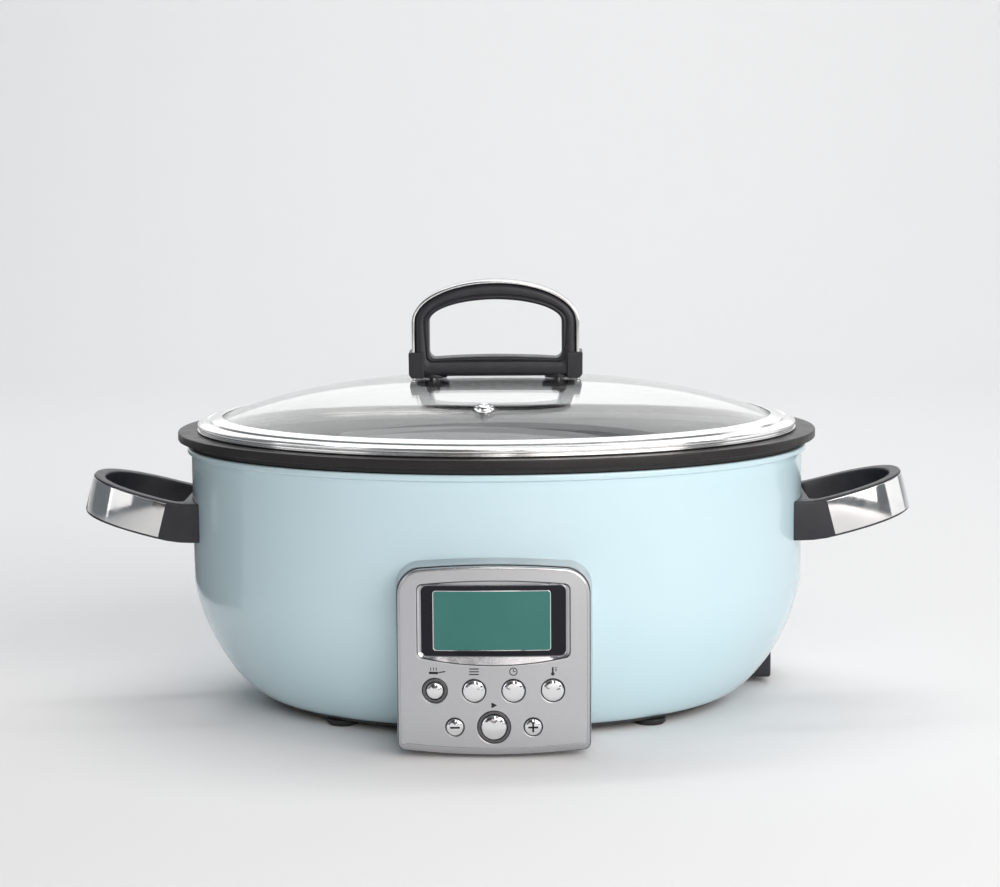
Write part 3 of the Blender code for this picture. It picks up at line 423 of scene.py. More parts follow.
def look(name, colour, roughness, metallic=0.0, tints=(), gloss=None, bumps=(), sockets=None):
    """A material. Each noise is (size in millimetres, detail), with True after them if it is spun.

    tints are (noise, colour) with the noise's low and high after them, gloss is (noise, spread)
    and bumps are (noise, height in millimetres). sockets are the shader's other values.
    """
    s = Surface(name, colour, roughness, metallic)
    for noise, *tint in tints:
        s.vary_colour(s.noise(*noise), *tint)
    if gloss:
        s.vary_roughness(s.noise(*gloss[0]), gloss[1])
    for noise, height in bumps:
        s.bump(s.noise(*noise), height)
    for socket, value in (sockets or {}).items():
        s.set(socket, value)
    return s.material


def pot_coating(name, colour, cloud, fleck):
    return look(name, colour, 0.36, 0.0, [((35, 3), cloud), ((0.5, 1), fleck, 0.66, 0.78)], ((8, 4), 0.05),
                [((0.6, 2), 0.006), ((0.5, 2, True), 0.004)], {"Specular IOR Level": 0.28})


def lcd():
    s = Surface("lcd", (0.042, 0.165, 0.143), 0.25)
    s.vary_colour(s.noise(30, 1), (0.045, 0.173, 0.150))
    # The faint grid of the display's cells.
    cells = s.add("ShaderNodeTexWave", wave_type="BANDS", bands_direction="X")
    cells.inputs["Scale"].default_value = 1 / (3 * MM)
    s.link(s.coords, cells.inputs["Vector"])
    s.bump(cells.outputs["Fac"], 0.001)
    return s.set("Specular IOR Level", 0.25).material


def glass():
    s = Surface("lid_glass", (0.988, 0.996, 0.993), 0.0)
    s.roughness = 0.012
    s.vary_roughness(s.noise(20, 4), 0.01)
    s.bump(s.noise(45, 1), 0.05, 0.4)
    return s.set("Transmission Weight", 1.0).set("IOR", 1.5).material


def plain(name, colour, roughness, metallic=0.0, grain=1.0, height=0.01):
    """A small or hidden piece's material: slight colour and gloss changes and a fine grain."""
    brighter = tuple(min(1, c * 1.25 + 0.005) for c in colour)
    return look(name, colour, roughness, metallic, [((6 * grain, 4), brighter)], ((4 * grain, 3), 0.06),
                [((grain, 2), height)])


ENAMEL = look("aqua_enamel", (0.545, 0.722, 0.785), 0.22, 0.0, [((60, 2), (0.56, 0.733, 0.796))],
              ((14, 4), 0.04), [((2.2, 2), 0.004)], {"Coat Weight": 0.6, "Coat Roughness": 0.06})
PLASTIC = look("black_phenolic", (0.018, 0.018, 0.023), 0.4, 0.0, [((9, 4), (0.024, 0.024, 0.030))],
               ((5, 4), 0.06), [((0.35, 2), 0.01)], {"Specular IOR Level": 0.42})
RING_BLACK = look("black_ring", (0.012, 0.012, 0.013), 0.55, gloss=((3, 3), 0.08), bumps=[((0.5, 2), 0.02)])
COATING = pot_coating("pot_coating", (0.014, 0.012, 0.0125), (0.018, 0.016, 0.0165), (0.06, 0.056, 0.056))
# The lining is the same dark coating as the outside, painted a lighter grey: painted light inside the pot.
PAINTED_LIGHT_LINING = pot_coating("pot_lining_painted_light", (0.47, 0.47, 0.485), (0.51, 0.51, 0.525), (0.41, 0.41, 0.42))
STEEL = look("polished_steel", (0.78, 0.78, 0.775), 0.09, 1.0, [((12, 3), (0.74, 0.74, 0.74))],
             ((6, 5), 0.035), [((7, 1), 0.012)])
RIM = look("rim_steel", (0.88, 0.88, 0.875), 0.16, 1.0, [((0.6, 2, True), (0.84, 0.84, 0.835))],
           ((0.35, 2, True), 0.04), [((0.3, 1, True), 0.0006)])
LINER = look("liner_steel", (0.52, 0.52, 0.51), 0.42, 1.0, [((24, 5), (0.42, 0.41, 0.39))],
             ((0.8, 2, True), 0.08), [((0.7, 2, True), 0.006)])
CHROME = look("chrome", (0.83, 0.83, 0.84), 0.05, 1.0, gloss=((2.5, 4), 0.025), bumps=[((3, 1), 0.004)])
SILVER = look("silver_paint", (0.535, 0.54, 0.555), 0.3, 0.9,
              [((0.18, 0), (0.5992, 0.6048, 0.6216), 0.55, 0.75)], ((30, 2), 0.02), [((0.2, 1), 0.001)],
              {"Coat Weight": 0.35, "Coat Roughness": 0.2})
BEZEL = look("satin_chrome", (0.54, 0.54, 0.56), 0.23, 1.0, gloss=((4, 3), 0.04), bumps=[((4, 1), 0.004)])
MASK = look("display_mask", (0.010, 0.010, 0.014), 0.14, gloss=((4, 4), 0.04), bumps=[((5, 1), 0.002)],
            sockets={"Specular IOR Level": 0.2})
LIGHT_RING = look("light_ring", (0.05, 0.05, 0.055), 0.22, tints=[((1.5, 2), (0.085, 0.085, 0.09))],
                  bumps=[((0.5, 2), 0.004)], sockets={"Coat Weight": 0.4})
LCD = lcd()
GLASS = glass()
RUBBER = look("rubber", (0.014, 0.014, 0.015), 0.7, 0.0, [((4, 5), (0.05, 0.048, 0.045), 0.6, 0.85)],
              ((3, 4), 0.1), [((0.4, 3), 0.03)])
BASE = look("base_plastic", (0.03, 0.03, 0.033), 0.5, gloss=((6, 4), 0.08), bumps=[((0.8, 3), 0.04)])
CAST = look("cast_aluminium", (0.55, 0.55, 0.56), 0.42, 1.0, [((18, 5), (0.45, 0.43, 0.41))],
            ((0.6, 2, True), 0.1), [((0.5, 1, True), 0.01)])
ICON_INK = plain("icon_ink", (0.006, 0.006, 0.007), 0.6, 0, 0.3, 0.002)
BOARD = plain("solder_mask", (0.03, 0.16, 0.07), 0.3, 0, 0.8, 0.01)
SILICONE = plain("silicone", (0.62, 0.62, 0.60), 0.6, 0, 0.8, 0.02)
LEAD = plain("lead_insulation", (0.50, 0.05, 0.035), 0.5, 0, 0.8, 0.02)
ELEMENT = plain("element_sheath", (0.20, 0.185, 0.17), 0.45, 1.0, 0.8, 0.01)
SCREW = plain("zinc_plate", (0.66, 0.66, 0.64), 0.28, 1.0, 0.5, 0.004)


# ---------------------------------------------------------------- body

SHELL_HALF = 186
SHELL_TOP = 159
SHELL_WALL = 1.6
BELLY_TOP = 79
BELLY_INSET = 45
BELLY_POWER = 1.54
SHELL_BOTTOM = 6


def belly(half, amount, bottom, count=40):
    """The curve from the straight wall at BELLY_TOP, in and down to bottom."""
    found = []
    for i in range(count + 1):
        turn = math.pi / 2 * i / count
        across = 1 - max(0.0, math.cos(turn)) ** (2 / BELLY_POWER)
        down = math.sin(turn) ** (2 / BELLY_POWER)
        found.append((half - amount * across, BELLY_TOP - (BELLY_TOP - bottom) * down))
    return found


def shell_half_at(z):
    """Half length of the shell at a height."""
    if z >= BELLY_TOP:
        return SHELL_HALF
    down = min(1.0, (BELLY_TOP - z) / (BELLY_TOP - SHELL_BOTTOM))
    sine = down ** (BELLY_POWER / 2)
    cosine = math.sqrt(max(0.0, 1 - sine * sine))
    return SHELL_HALF - BELLY_INSET * (1 - cosine ** (2 / BELLY_POWER))


def shell_y(x, z):
    """Y of the shell's front surface."""
    half = shell_half_at(z)
    return OVAL_Y - RATIO * half * math.sqrt(max(0.0, 1 - (x / half) ** 2))


def shell():
    bead, opening, floor = SHELL_HALF + 2.4, 120, SHELL_BOTTOM + SHELL_WALL
    lip = [(SHELL_HALF - SHELL_WALL, SHELL_TOP - 2), (SHELL_HALF - SHELL_WALL, SHELL_TOP), (bead, SHELL_TOP),
           (bead, SHELL_TOP - 3.5), (SHELL_HALF + 0.35, SHELL_TOP - 4.1), (SHELL_HALF, SHELL_TOP - 6.5),
           (SHELL_HALF, BELLY_TOP + 20)]
    profile = rounded(lip, [0, 0.9, 1.3, 1, 0.5, 1.5, 0], segments=5)
    profile += [(SHELL_HALF, BELLY_TOP + 10)] + belly(SHELL_HALF, BELLY_INSET, SHELL_BOTTOM)
    profile += [(opening, SHELL_BOTTOM), (opening, floor)]
    profile += belly(SHELL_HALF - SHELL_WALL, BELLY_INSET - 1, floor)[::-1]
    body = turned("shell", profile, ENAMEL, steps=200, closed=True, angle=40)
    low, high = box("inlet_socket")
    margin = Vector((5, 0.4, 0.4))
    cut(body, box_mesh("inlet_hole", low - margin, high + margin), 40)
    place(body, "base", "body_paint", "outer_shell")


def rim_ring():
    low, high = box("rim_ring")
    bottom, skirt, mouth = SHELL_TOP + 0.3, SHELL_HALF - 2.5, 175.8
    corners = [(high.x, high.z), (high.x, bottom), (skirt, bottom), (skirt, low.z), (skirt - 2, low.z),
               (skirt - 2, bottom), (mouth, bottom), (mouth, high.z)]
    ring = turned("rim_seal", rounded(corners, 0.5, closed=True, segments=3), RING_BLACK, closed=True)
    place(ring, "base", "black_trim", "rim_ring")


def liner():
    low, high = box("heat_liner")
    half, wall, curve = 175.6, 1.2, 42
    floor, under_lip = low.z + wall, high.z - wall
    outer = arc(half - curve, low.z + curve, curve, 0, -90, 16)
    inner = arc(half - curve, low.z + curve, curve - wall, -90, 0, 16)
    profile = [(0, floor), (62, floor), (64, floor + 1.2), (92, floor + 1.2), (94, floor)] + inner
    profile += [(half - wall, high.z), (high.x, high.z), (high.x, under_lip), (half, under_lip)]
    bowl = turned("liner_bowl", profile + outer + [(0, low.z)], LINER, steps=128, angle=40)
    place(bowl, "base", "liner_steel", "heat_liner")


def base_cover():
    low, high = box("base_cover")
    top, steps = 5.7, 128
    turns = [2 * math.pi * i / steps for i in range(steps)]
    outline = [(high.x * math.cos(t), RATIO * high.x * math.sin(t)) for t in turns]
    vents = [(i - 3) * 16 for i in range(7)]
    holes = [arc(x, -8, 2, 0, 180, 8) + arc(x, -28, 2, 180, 360, 8) for x in vents]
    for i in range(1, 5):
        spot = middle(f"base_screw_{i}")
        holes.append(arc(spot.x, spot.y - OVAL_Y, 2.3, 0, 342, 19))

    def under(z):
        return lambda u, v, depth: Vector((u, OVAL_Y + v, z + depth))

    cover = plate("bottom_cover", [outline, *holes], under(low.z), top - low.z, BASE, 0.5, 12)
    place(cover, "base", "base_plastic", "base_cover")
    # A raised blank label field, as such covers have.
    field = rounded([(-34, 8), (34, 8), (34, 36), (-34, 36)], 3, closed=True, segments=5)
    place(plate("label_field", [field], under(low.z - 0.35), 0.8, BASE, 0.3), "base", "base_plastic")


def feet_and_screws():
    for i in range(1, 5):
        low, high = box(f"foot_{i}")
        spot, half, stem = middle(f"foot_{i}"), (high.x - low.x) / 2, 3.5
        profile = [(0, high.z), (stem, high.z), (stem, 3.5), (half, 3.5), (half - 0.2, 1), (half - 0.9, 0),
                   (half - 3.2, 0), (half - 3.8, 0.5), (0, 0.5)]
        at = Matrix.Translation((spot.x, spot.y, 0))
        foot = knob(f"rubber_foot_{i}", profile, [0, 0, 0, 0.7, 0.6, 0.3, 0.2, 0.3, 0], RUBBER, at)
        place(foot, "base", "rubber", f"foot_{i}")
        low, high = box(f"base_screw_{i}")
        spot = middle(f"base_screw_{i}")
        facing = Matrix.Translation((spot.x, spot.y, low.z)) @ FLIP
        screw(f"cover_screw_{i}", facing, 3.8, 1.8, high.z - low.z, "base", f"base_screw_{i}")


def screw(name, at, head, head_height, length, body, node):
    """A pan-head screw with a cross recess. Its head faces the matrix's +Z, at its origin."""
    shank = 2
    profile = [(0, 0), (head * 0.72, 0), (head * 0.95, -head_height * 0.45), (head, -head_height),
               (shank, -head_height), (shank, 1 - length), (shank - 0.6, -length), (0, -length)]
    piece = knob(name, profile, [0, 0.6, 0.8, 0.2, 0.1, 0.2, 0.1, 0], SCREW, at, 32, 3)
    wing = Vector((head * 0.5, 0.42, 0.75))
    for turn in (0, math.pi / 2):
        cut(piece, box_mesh("recess", -wing, wing, at @ Matrix.Rotation(turn, 4, "Z")), 32)
    place(piece, body, "bright_steel", node)


# ---------------------------------------------------------------- pot and lid

POT_HALF = 173
MOUTH_HALF = 170


def pot():
    low, high = box("inner_pot")
    bottom, top = low.z, high.z
    curve, inner_curve, under = 38, 34, top - 5
    foot, floor = POT_HALF - 2, bottom + 4.5
    outer = arc(foot - curve, bottom + curve, curve, 0, -90, 20)
    inner = arc(foot - curve, floor + inner_curve, inner_curve, -90, 0, 20)
    rim = [inner[-1], (MOUTH_HALF, top - 6), (MOUTH_HALF, top), (high.x, top), (high.x, under),
           (POT_HALF, under), outer[0]]
    rim = rounded(rim, [0, 0, 1.6, 1, 0.8, 1.2, 0], segments=5)
    # The lining is the pot's dark coating painted a mid grey as far as the mouth: painted light for the
    # light that falls into the pot. The flange and the outside keep the darker coating.
    seam = next(i for i, (r, z) in enumerate(rim) if r > MOUTH_HALF + 0.5)
    lit_lining = [(0, floor), (70, floor)] + inner[:-1] + rim[:seam + 1]
    place(turned("pot_lining_painted_light", lit_lining, PAINTED_LIGHT_LINING, steps=192, angle=40), "pot", "pot_coating")
    outside = rim[seam:] + outer[1:]
    # Shallow rings turned into the underside, where it sits on the plate.
    for i in range(7):
        r = 104 - 14 * i
        outside += [(r, bottom), (r - 0.5, bottom + 0.5), (r - 1.5, bottom + 0.5), (r - 2, bottom)]
    outside += [(0, bottom)]
    place(turned("pot_outside", outside, COATING, steps=192, angle=40), "pot", "pot_coating", "inner_pot")


GLASS_EDGE = 178.6
GLASS_LIP = 166.8
GLASS_TOP = box("lid_glass")[1].z
GLASS_SHOULDER = 175.8
GLASS_THICK = 4
GLASS_LOW = box("lid_glass")[0].z + GLASS_THICK


def dome(radius):
    """Height of the glass at a radius along X: a dome, and a plain slope under the rim."""
    if radius > GLASS_LIP:
        covered = (radius - GLASS_LIP) / (GLASS_EDGE - GLASS_LIP)
        return GLASS_SHOULDER - (GLASS_SHOULDER - GLASS_LOW) * covered
    return GLASS_TOP - (GLASS_TOP - GLASS_SHOULDER) * (radius / GLASS_LIP) ** 2.8


def glass_height(x, y):
    return dome(math.hypot(x, y / RATIO))


def lid_glass():
    radii = [GLASS_LIP * i / 48 for i in range(49)]
    radii += [GLASS_LIP + (GLASS_EDGE - GLASS_LIP) * i / 3 for i in range(1, 4)]
    outer = [(r, dome(r)) for r in radii]
    inner = [(r, z - GLASS_THICK) for r, z in outer]
    edge = rounded([outer[-2], outer[-1], inner[-1], inner[-2]], 1.2, segments=5)
    profile = outer[:-2] + edge + inner[:-2][::-1]
    pane = turned("domed_glass", profile, GLASS, steps=192, angle=60)
    holes = [(vent_place(), 3.0)]
    for side in ("left", "right"):
        holes.append((Matrix.Translation((middle(f"lid_screw_{side}").x, OVAL_Y, GLASS_TOP)), 2.6))
    for at, r in holes:
        drill = [(0, 12), (r, 12), (r, -12), (0, -12)]
        cut(pane, turned("drill", drill, GLASS, ratio=1, steps=32, at=at), 60)
    place(pane, "lid", "lid_glass", "lid_glass")


def lid_rim():
    """A folded steel band: a wide sloping face, a pressed line and a rolled edge."""
    low, high = box("lid_rim")
    edge, seat, back = high.x, FLANGE_TOP + 0.3, GLASS_EDGE + 0.3
    bead_inner, bead_outer = 167.9, 168.8
    # The face, as distances from the glass's lip and heights over the glass.
    face = [(GLASS_LIP + d, dome(GLASS_LIP + d) + up)
            for d, up in ((0, 0.1), (0, 1.25), (7.6, 1.3), (8.5, 0.2), (9.3, 0.2), (10.2, 1.15))]
    # The rolled edge, as distances inside the band's edge and heights over its seat.
    rolled = [(1.6, 5), (0.3, 4.2), (0.2, 2.6), (1.3, 2.2), (1.2, 1.4), (0, 1), (0.2, 0.1), (2.6, 0)]
    face += [(edge - d, seat + up) for d, up in rolled]
    face += [(bead_outer, seat), (bead_outer, low.z), (bead_inner, low.z), (bead_inner, seat + 0.3),
             (back, seat + 0.3), (back, dome(GLASS_EDGE) + 0.3)]
    radii = [0.3, 0.5, 0.4, 0.3, 0.3, 0.4, 0.8, 0.8, 0.4, 0.3]
    radii += [0.3, 0.4, 0.4, 0.3, 0.2, 0.2, 0.2, 0.2, 0.2, 0.3]
    path = rounded(face, radii, closed=True, segments=5)
    ring = turned("lid_band", path, RIM, steps=200, closed=True, angle=35)
    place(ring, "lid", "bright_steel", "lid_rim")


def vent_place():
    """The vent's matrix: its origin on the glass, its Z square to it."""
    x, y = -5.5, -86
    slope = math.atan2(glass_height(x, y + 2) - glass_height(x, y - 2), 4)
    return Matrix.Translation((x, OVAL_Y + y, glass_height(x, y))) @ Matrix.Rotation(slope, 4, "X")


def lid_vent():
    at, seat, stem = vent_place(), 0.7, 2.8
    profile = [(0, 2.1), (1.1, 2.1), (1.5, 2.5), (3.3, 2.2), (4.2, 0.9), (4.3, 0.45), (5.8, 0.2),
               (5.8, -0.45), (stem, -0.45)]
    profile = [(r, seat + up) for r, up in profile] + [(stem, -6.8), (0, -6.8)]
    radii = [0, 0.2, 0.25, 0.8, 0.4, 0.2, 0.25, 0.2, 0.1, 0.3, 0]
    place(knob("steam_grommet", profile, radii, CHROME, at, 64, 5), "lid", "chrome", "lid_vent")
    # Three black tubes in the grommet's shoulder stand for its steam slits: painted shade where the slits
    # open.
    for i in range(3):
        turns = [math.radians(120 * i - 90) + t for t in (-0.5, -0.25, 0, 0.25, 0.5)]
        slit = [at @ Vector((3.75 * math.cos(t), 3.75 * math.sin(t), seat + 1.55)) for t in turns]
        place(tube(f"steam_slit_shade_{i + 1}", slit, 0.42, RING_BLACK), "lid", "chrome")


ARCH_HALF = 48.9
ARCH_SPRING = 233
ARCH_RISE = 23.4
ARCH_FOOT = 200


def arch(half, rise, foot, corner, bow=0):
    """Closed (x, z) outline: an elliptical arch on straight sides, its foot bowed up by bow."""
    count, low = 40, foot + corner
    turns = [math.pi * i / count for i in range(count + 1)]
    side = [(half, low + (ARCH_SPRING - low) * i / 6) for i in range(1, 6)]
    found = [(half * math.cos(t), ARCH_SPRING + rise * math.sin(t)) for t in turns]
    found += [(-x, z) for x, z in side[::-1]] + arc(corner - half, low, corner, 180, 270, 8)
    found += [((corner - half) * (1 - i / 5), foot + bow * (1 - (1 - i / 5) ** 2)) for i in range(1, 10)]
    return found + arc(half - corner, low, corner, 270, 360, 8) + side


def lid_grip():
    outer = arch(ARCH_HALF - 0.1, ARCH_RISE - 0.1, ARCH_FOOT, 2)
    inner = arch(40.2, 13.5, 211, 4, 1.2)
    # Half of the section, from the outer edge inwards: a flat, a line and a bead. The line and
    # the bead are measured from the inner edge.
    flat = [(0, 5.8), (0.35, 7.3), (1.4, 8.5), (2.8, 8.95)]
    line_and_bead = [(-3.7, 8.95), (-3.3, 8.7), (-3.05, 8.05), (-2.75, 8.05), (-2.4, 8.55), (-1.7, 8.8),
                     (-0.9, 8.55), (-0.3, 7.8), (0, 6.2), (0.15, 3.5)]
    sections = []
    for (xo, zo), (xi, zi) in zip(outer, inner):
        start, end = Vector((xo, 0, zo)), Vector((xi, 0, zi))
        width = (end - start).length
        along = (end - start).normalized()
        half = flat + [(width + d, y) for d, y in line_and_bead]
        ring = [(d, -y) for d, y in half] + half[::-1]
        sections.append([start + along * d + Vector((0, OVAL_Y + y, 0)) for d, y in ring])
    grip = loft("lid_grip", sections, PLASTIC, ring=True, angle=50)
    place(grip, "lid", "black_plastic", "lid_handle_grip")
    depth, foot = 10.6, dome(29.5) + 0.3

    def front(u, v, d):
        return Vector((u, OVAL_Y - depth + d, v))

    # The clip blocks that hold the strip's ends, and the bosses that stand on the glass.
    for name, side in (("left", -1), ("right", 1)):
        outline = [(43.2, 198.9), (50.9, 198.9), (52.6, 201.4), (52.7, 214.8), (43.2, 214.8)]
        outline = rounded(outline, [0.9, 1.6, 1.6, 1, 0.9], closed=True, segments=4)
        # The left outline is mirrored, and turned round to stay counter-clockwise.
        outline = [(side * x, z) for x, z in outline][::side]
        block = plate(f"strip_clip_{name}", [outline], front, 2 * depth, PLASTIC, 0.7)
        place(block, "lid", "black_plastic")
        boss = [(0, 205), (7.6, 205), (8.5, 201.5), (8.5, foot), (0, foot)]
        at = Matrix.Translation((middle(f"lid_washer_{name}").x, OVAL_Y, 0))
        stand = knob(f"grip_boss_{name}", boss, [0, 0.4, 1, 0.5, 0], PLASTIC, at, 64)
        place(stand, "lid", "black_plastic")


def rounded_bar(width, height, radius, segments=3):
    """Closed (across, up) section from (0, -height / 2) to (width, height / 2)."""
    corners = [(0, -height / 2), (width, -height / 2), (width, height / 2), (0, height / 2)]
    return rounded(corners, radius, closed=True, segments=segments)


def lid_strip():
    """The polished strip over the arch. Its legs go straight down into the clip blocks."""
    half, thick, count = 9, 1.8, 48
    foot = box("lid_handle_trim")[0].z
    centre = []
    for i in range(count + 1):
        across, up = math.cos(math.pi * i / count), math.sin(math.pi * i / count)
        spot = Vector((ARCH_HALF * across, ARCH_SPRING + ARCH_RISE * up))
        centre.append((spot, Vector((ARCH_RISE * across, ARCH_HALF * up)).normalized()))
    legs = [ARCH_SPRING - (ARCH_SPRING - foot) * i / 8 for i in range(8, 0, -1)]
    right = [(Vector((ARCH_HALF, z)), Vector((1, 0))) for z in legs]
    left = [(Vector((-ARCH_HALF, z)), Vector((-1, 0))) for z in legs[::-1]]
    sections = []
    for spot, out in right + centre + left:
        points = [(spot + out * d, y) for d, y in rounded_bar(thick, 2 * half, 0.5)]
        sections.append([Vector((p.x, OVAL_Y + y, p.y)) for p, y in points])
    place(loft("lid_strip", sections, STEEL, angle=50), "lid", "bright_steel", "lid_handle_trim")


def lid_fasteners():
    for side in ("left", "right"):
        low, high = box(f"lid_washer_{side}")
        x, hole = (low.x + high.x) / 2, 2.6
        ring = [(hole, high.z), (9.4, high.z), (10, high.z - 0.6), (10, low.z), (hole, low.z)]
        at = Matrix.Translation((x, OVAL_Y, 0))
        washer = knob(f"seal_washer_{side}", ring, 0.3, RUBBER, at, 48, 3, closed=True)
        place(washer, "lid", "rubber", f"lid_washer_{side}")
        low, high = box(f"lid_screw_{side}")
        facing = Matrix.Translation((x, OVAL_Y, low.z)) @ FLIP
        screw(f"grip_screw_{side}", facing, 4.5, 2.4, high.z - low.z, "lid", f"lid_screw_{side}")


# ---------------------------------------------------------------- side handles

HANDLE_Z = 115.4
HANDLE_HEIGHT = 23.8
BEND_FROM = 184
BEND_LENGTH = 16
CLIMB = math.radians(14.6)
TIP = 251
HALF_WIDTH = 39
STRAP = 7
STRAIGHT = 203


def bent(s, y, up):
    """The point at length s, offset y and height up on a side handle's bent centre line."""
    radius = BEND_LENGTH / CLIMB
    along = s - BEND_FROM
    reach, rise, angle = s, 0.0, 0.0
    if along > 0:
        angle = min(along, BEND_LENGTH) / radius
        rest = max(0.0, along - BEND_LENGTH)
        reach = BEND_FROM + radius * math.sin(angle) + rest * math.cos(angle)
        rise = radius * (1 - math.cos(angle)) + rest * math.sin(angle)
    return Vector((reach - up * math.sin(angle), y, HANDLE_Z + rise + up * math.cos(angle)))


def handle_end(root, half_width, tip):
    """(s, y) points from one arm's straight part round the tip to the other arm's."""
    count, power = 56, 2.3
    found = []
    for i in range(count + 1):
        turn = math.pi * i / count - math.pi / 2
        s = root + (tip - root) * max(0.0, math.cos(turn)) ** (2 / power)
        found.append((s, math.copysign(half_width * abs(math.sin(turn)) ** (2 / power), turn)))
    return found


def body_reach(y):
    """X just outside the shell's surface, at depth y from the oval's axis."""
    half = SHELL_HALF + 0.1
    return half * math.sqrt(1 - (y / (half * RATIO)) ** 2)


def across_section(outer, inner, height, radius, side):
    """The rounded section between two (s, y) points of a side handle."""
    start, end = Vector(outer), Vector(inner)
    width = (end - start).length
    along = (end - start).normalized()
    section = []
    for d, up in rounded_bar(width, height, radius, 4):
        flat = start + along * d
        p = bent(flat.x, flat.y, up)
        section.append(Vector((side * p.x, p.y + OVAL_Y, p.z)))
    return section


def side_handle(name, side):
    inner_half, inner_tip, root = HALF_WIDTH - STRAP, TIP - STRAP, 189.5
    arm = [body_reach(HALF_WIDTH), 183, 189, 196]
    outer = [(s, -HALF_WIDTH) for s in arm] + handle_end(STRAIGHT, HALF_WIDTH, TIP)
    outer += [(s, HALF_WIDTH) for s in arm[::-1]]
    corner = [(root + x, -inner_half - y) for x, y in ((0, -8), (0.3, -5), (1.3, -2.6), (4.5, -0.5))]
    inner = corner + handle_end(STRAIGHT, inner_half, inner_tip) + [(s, -y) for s, y in corner[::-1]]
    back = 16
    for i in range(1, back):
        t = 1 - 2 * i / back
        outer.append((body_reach(t * HALF_WIDTH), t * HALF_WIDTH))
        inner.append((root, t * (inner_half - 8)))
    sections = [across_section(o, i, HANDLE_HEIGHT, 1.5, side) for o, i in zip(outer, inner)]
    grip = loft(f"{name}_loop", sections, PLASTIC, ring=True, angle=50)
    place(grip, "base", "black_plastic", f"handle_{name}_grip")
    # The polished band let into the loop's outer face.
    start, lines = 200.6, []
    for proud in (0.25, -0.8):
        line = handle_end(STRAIGHT, HALF_WIDTH + proud, TIP + proud)
        lines.append([(start, line[0][1]), *line, (start, line[-1][1])])
    sections = [across_section(o, i, 21.2, 0.45, side) for o, i in zip(*lines)]
    band = loft(f"{name}_band", sections, STEEL, angle=50)
    place(band, "base", "bright_steel", f"handle_{name}_trim")
    for end in ("front", "rear"):
        node = f"handle_{name}_screw_{end}"
        low, high = box(node)
        spot = middle(node)
        spot.x = high.x if side < 0 else low.x
        facing = Matrix.Translation(spot) @ Matrix.Rotation(-side * math.pi / 2, 4, "Y")
        screw(f"{name}_screw_{end}", facing, 3.9, 1.7, high.x - low.x, "base", node)


# ---------------------------------------------------------------- control panel

PANEL_Y = OVAL_Y - 150
PANEL_RADIUS = 490
FASCIA = 3


def panel_y(x, depth=0.0):
    """Y of the surface that lies depth behind the panel's curved front."""
    radius = PANEL_RADIUS - depth
    return PANEL_Y + PANEL_RADIUS - math.sqrt(radius * radius - x * x)


def on_panel(offset=0.0):
    """A plate's mapping: its front lies offset behind the panel's curved front."""
    return lambda u, v, depth: Vector((u, panel_y(u, offset + depth), v))


def panel_outline(grow):
    """Counter-clockwise (x, z) outline of the panel: arched, with larger corners above."""
    half, low, high = 53.8 + grow, 2.3 - grow, 110.3 + grow
    sag_low, sag_high, corner_low, corner_high = 2.8, 3.3, 4, 15

    def arched(x, level, sag):
        return x, level + sag * (x / half) ** 2

    run, top_x = half - corner_low, half - corner_high
    outline = [arched(run * (i / 12 - 1), low, sag_low) for i in range(25)]
    foot = outline[-1][1] + corner_low
    shoulder = arched(top_x, high, -sag_high)[1] - corner_high
    side = [(half, foot + (shoulder - foot) * i / 16) for i in range(1, 16)]
    outline += arc(run, foot, corner_low, -78, 0, 6) + side + arc(top_x, shoulder, corner_high, 0, 82, 10)
    outline += [arched(top_x * (1 - i / 10), high, -sag_high) for i in range(1, 20)]
    outline += arc(-top_x, shoulder, corner_high, 98, 180, 10) + [(-x, z) for x, z in side[::-1]]
    return outline + arc(-run, foot, corner_low, 180, 258, 6)


def lens_outline(grow):
    """Counter-clockwise (x, z) outline of the display's recess: bowed above and below."""
    half, low, high = 42.6 + grow, 57.9 - grow, 99.7 + grow
    bow_low, bow_high, corner = 3.9, 2.0, 3.6
    run, foot, head = half - corner, low + corner, high - corner

    def bowed(t, level, bow):
        return run * t, level + bow * (1 - t * t)

    side = [(half, foot + (head - foot) * i / 10) for i in range(1, 10)]
    outline = [bowed(i / 12 - 1, low, -bow_low) for i in range(25)]
    outline += arc(run, foot, corner, -75, 0, 6) + side + arc(run, head, corner, 0, 80, 6)
    outline += [bowed(1 - i / 12, high, bow_high) for i in range(1, 24)]
    outline += arc(-run, head, corner, 100, 180, 6) + [(-x, z) for x, z in side[::-1]]
    return outline + arc(-run, foot, corner, 180, 255, 6)


def rectangle(x0, x1, z0, z1, corner, side=8, bend=5):
    """Counter-clockwise rounded rectangle, with points along its sides."""
    found = []
    spots = [(x1 - corner, z0 + corner, -90), (x1 - corner, z1 - corner, 0)]
    spots += [(x0 + corner, z1 - corner, 90), (x0 + corner, z0 + corner, 180)]
    for k, (x, z, a) in enumerate(spots):
        turn = arc(x, z, corner, a, a + 90, bend)
        found += turn
        nx, nz, na = spots[(k + 1) % 4]
        goal = arc(nx, nz, corner, na, na + 90, bend)[0]
        last = turn[-1]
        for i in range(1, side):
            t = i / side
            found.append((last[0] + (goal[0] - last[0]) * t, last[1] + (goal[1] - last[1]) * t))
    return found


def circle(x, z, radius, count=40):
    turns = [2 * math.pi * i / count for i in range(count)]
    return [(x + radius * math.cos(t), z + radius * math.sin(t)) for t in turns]


def button_size(key):
    """(x, z, radius of the cap, radius of its light ring or 0)."""
    low, high = box(f"button_{key}")
    spot = (low + high) / 2
    ring = box(f"light_ring_{key}")[1].x - spot.x if key in ("sear", "start") else 0
    return spot.x, spot.z, (high.x - low.x) / 2 - 1, ring


CAP_INSET = 0.25                 # between the cap and the edge of its skirt
BUTTONS = {key: button_size(key) for key in ("sear", "menu", "time", "temp", "minus", "start", "plus")}


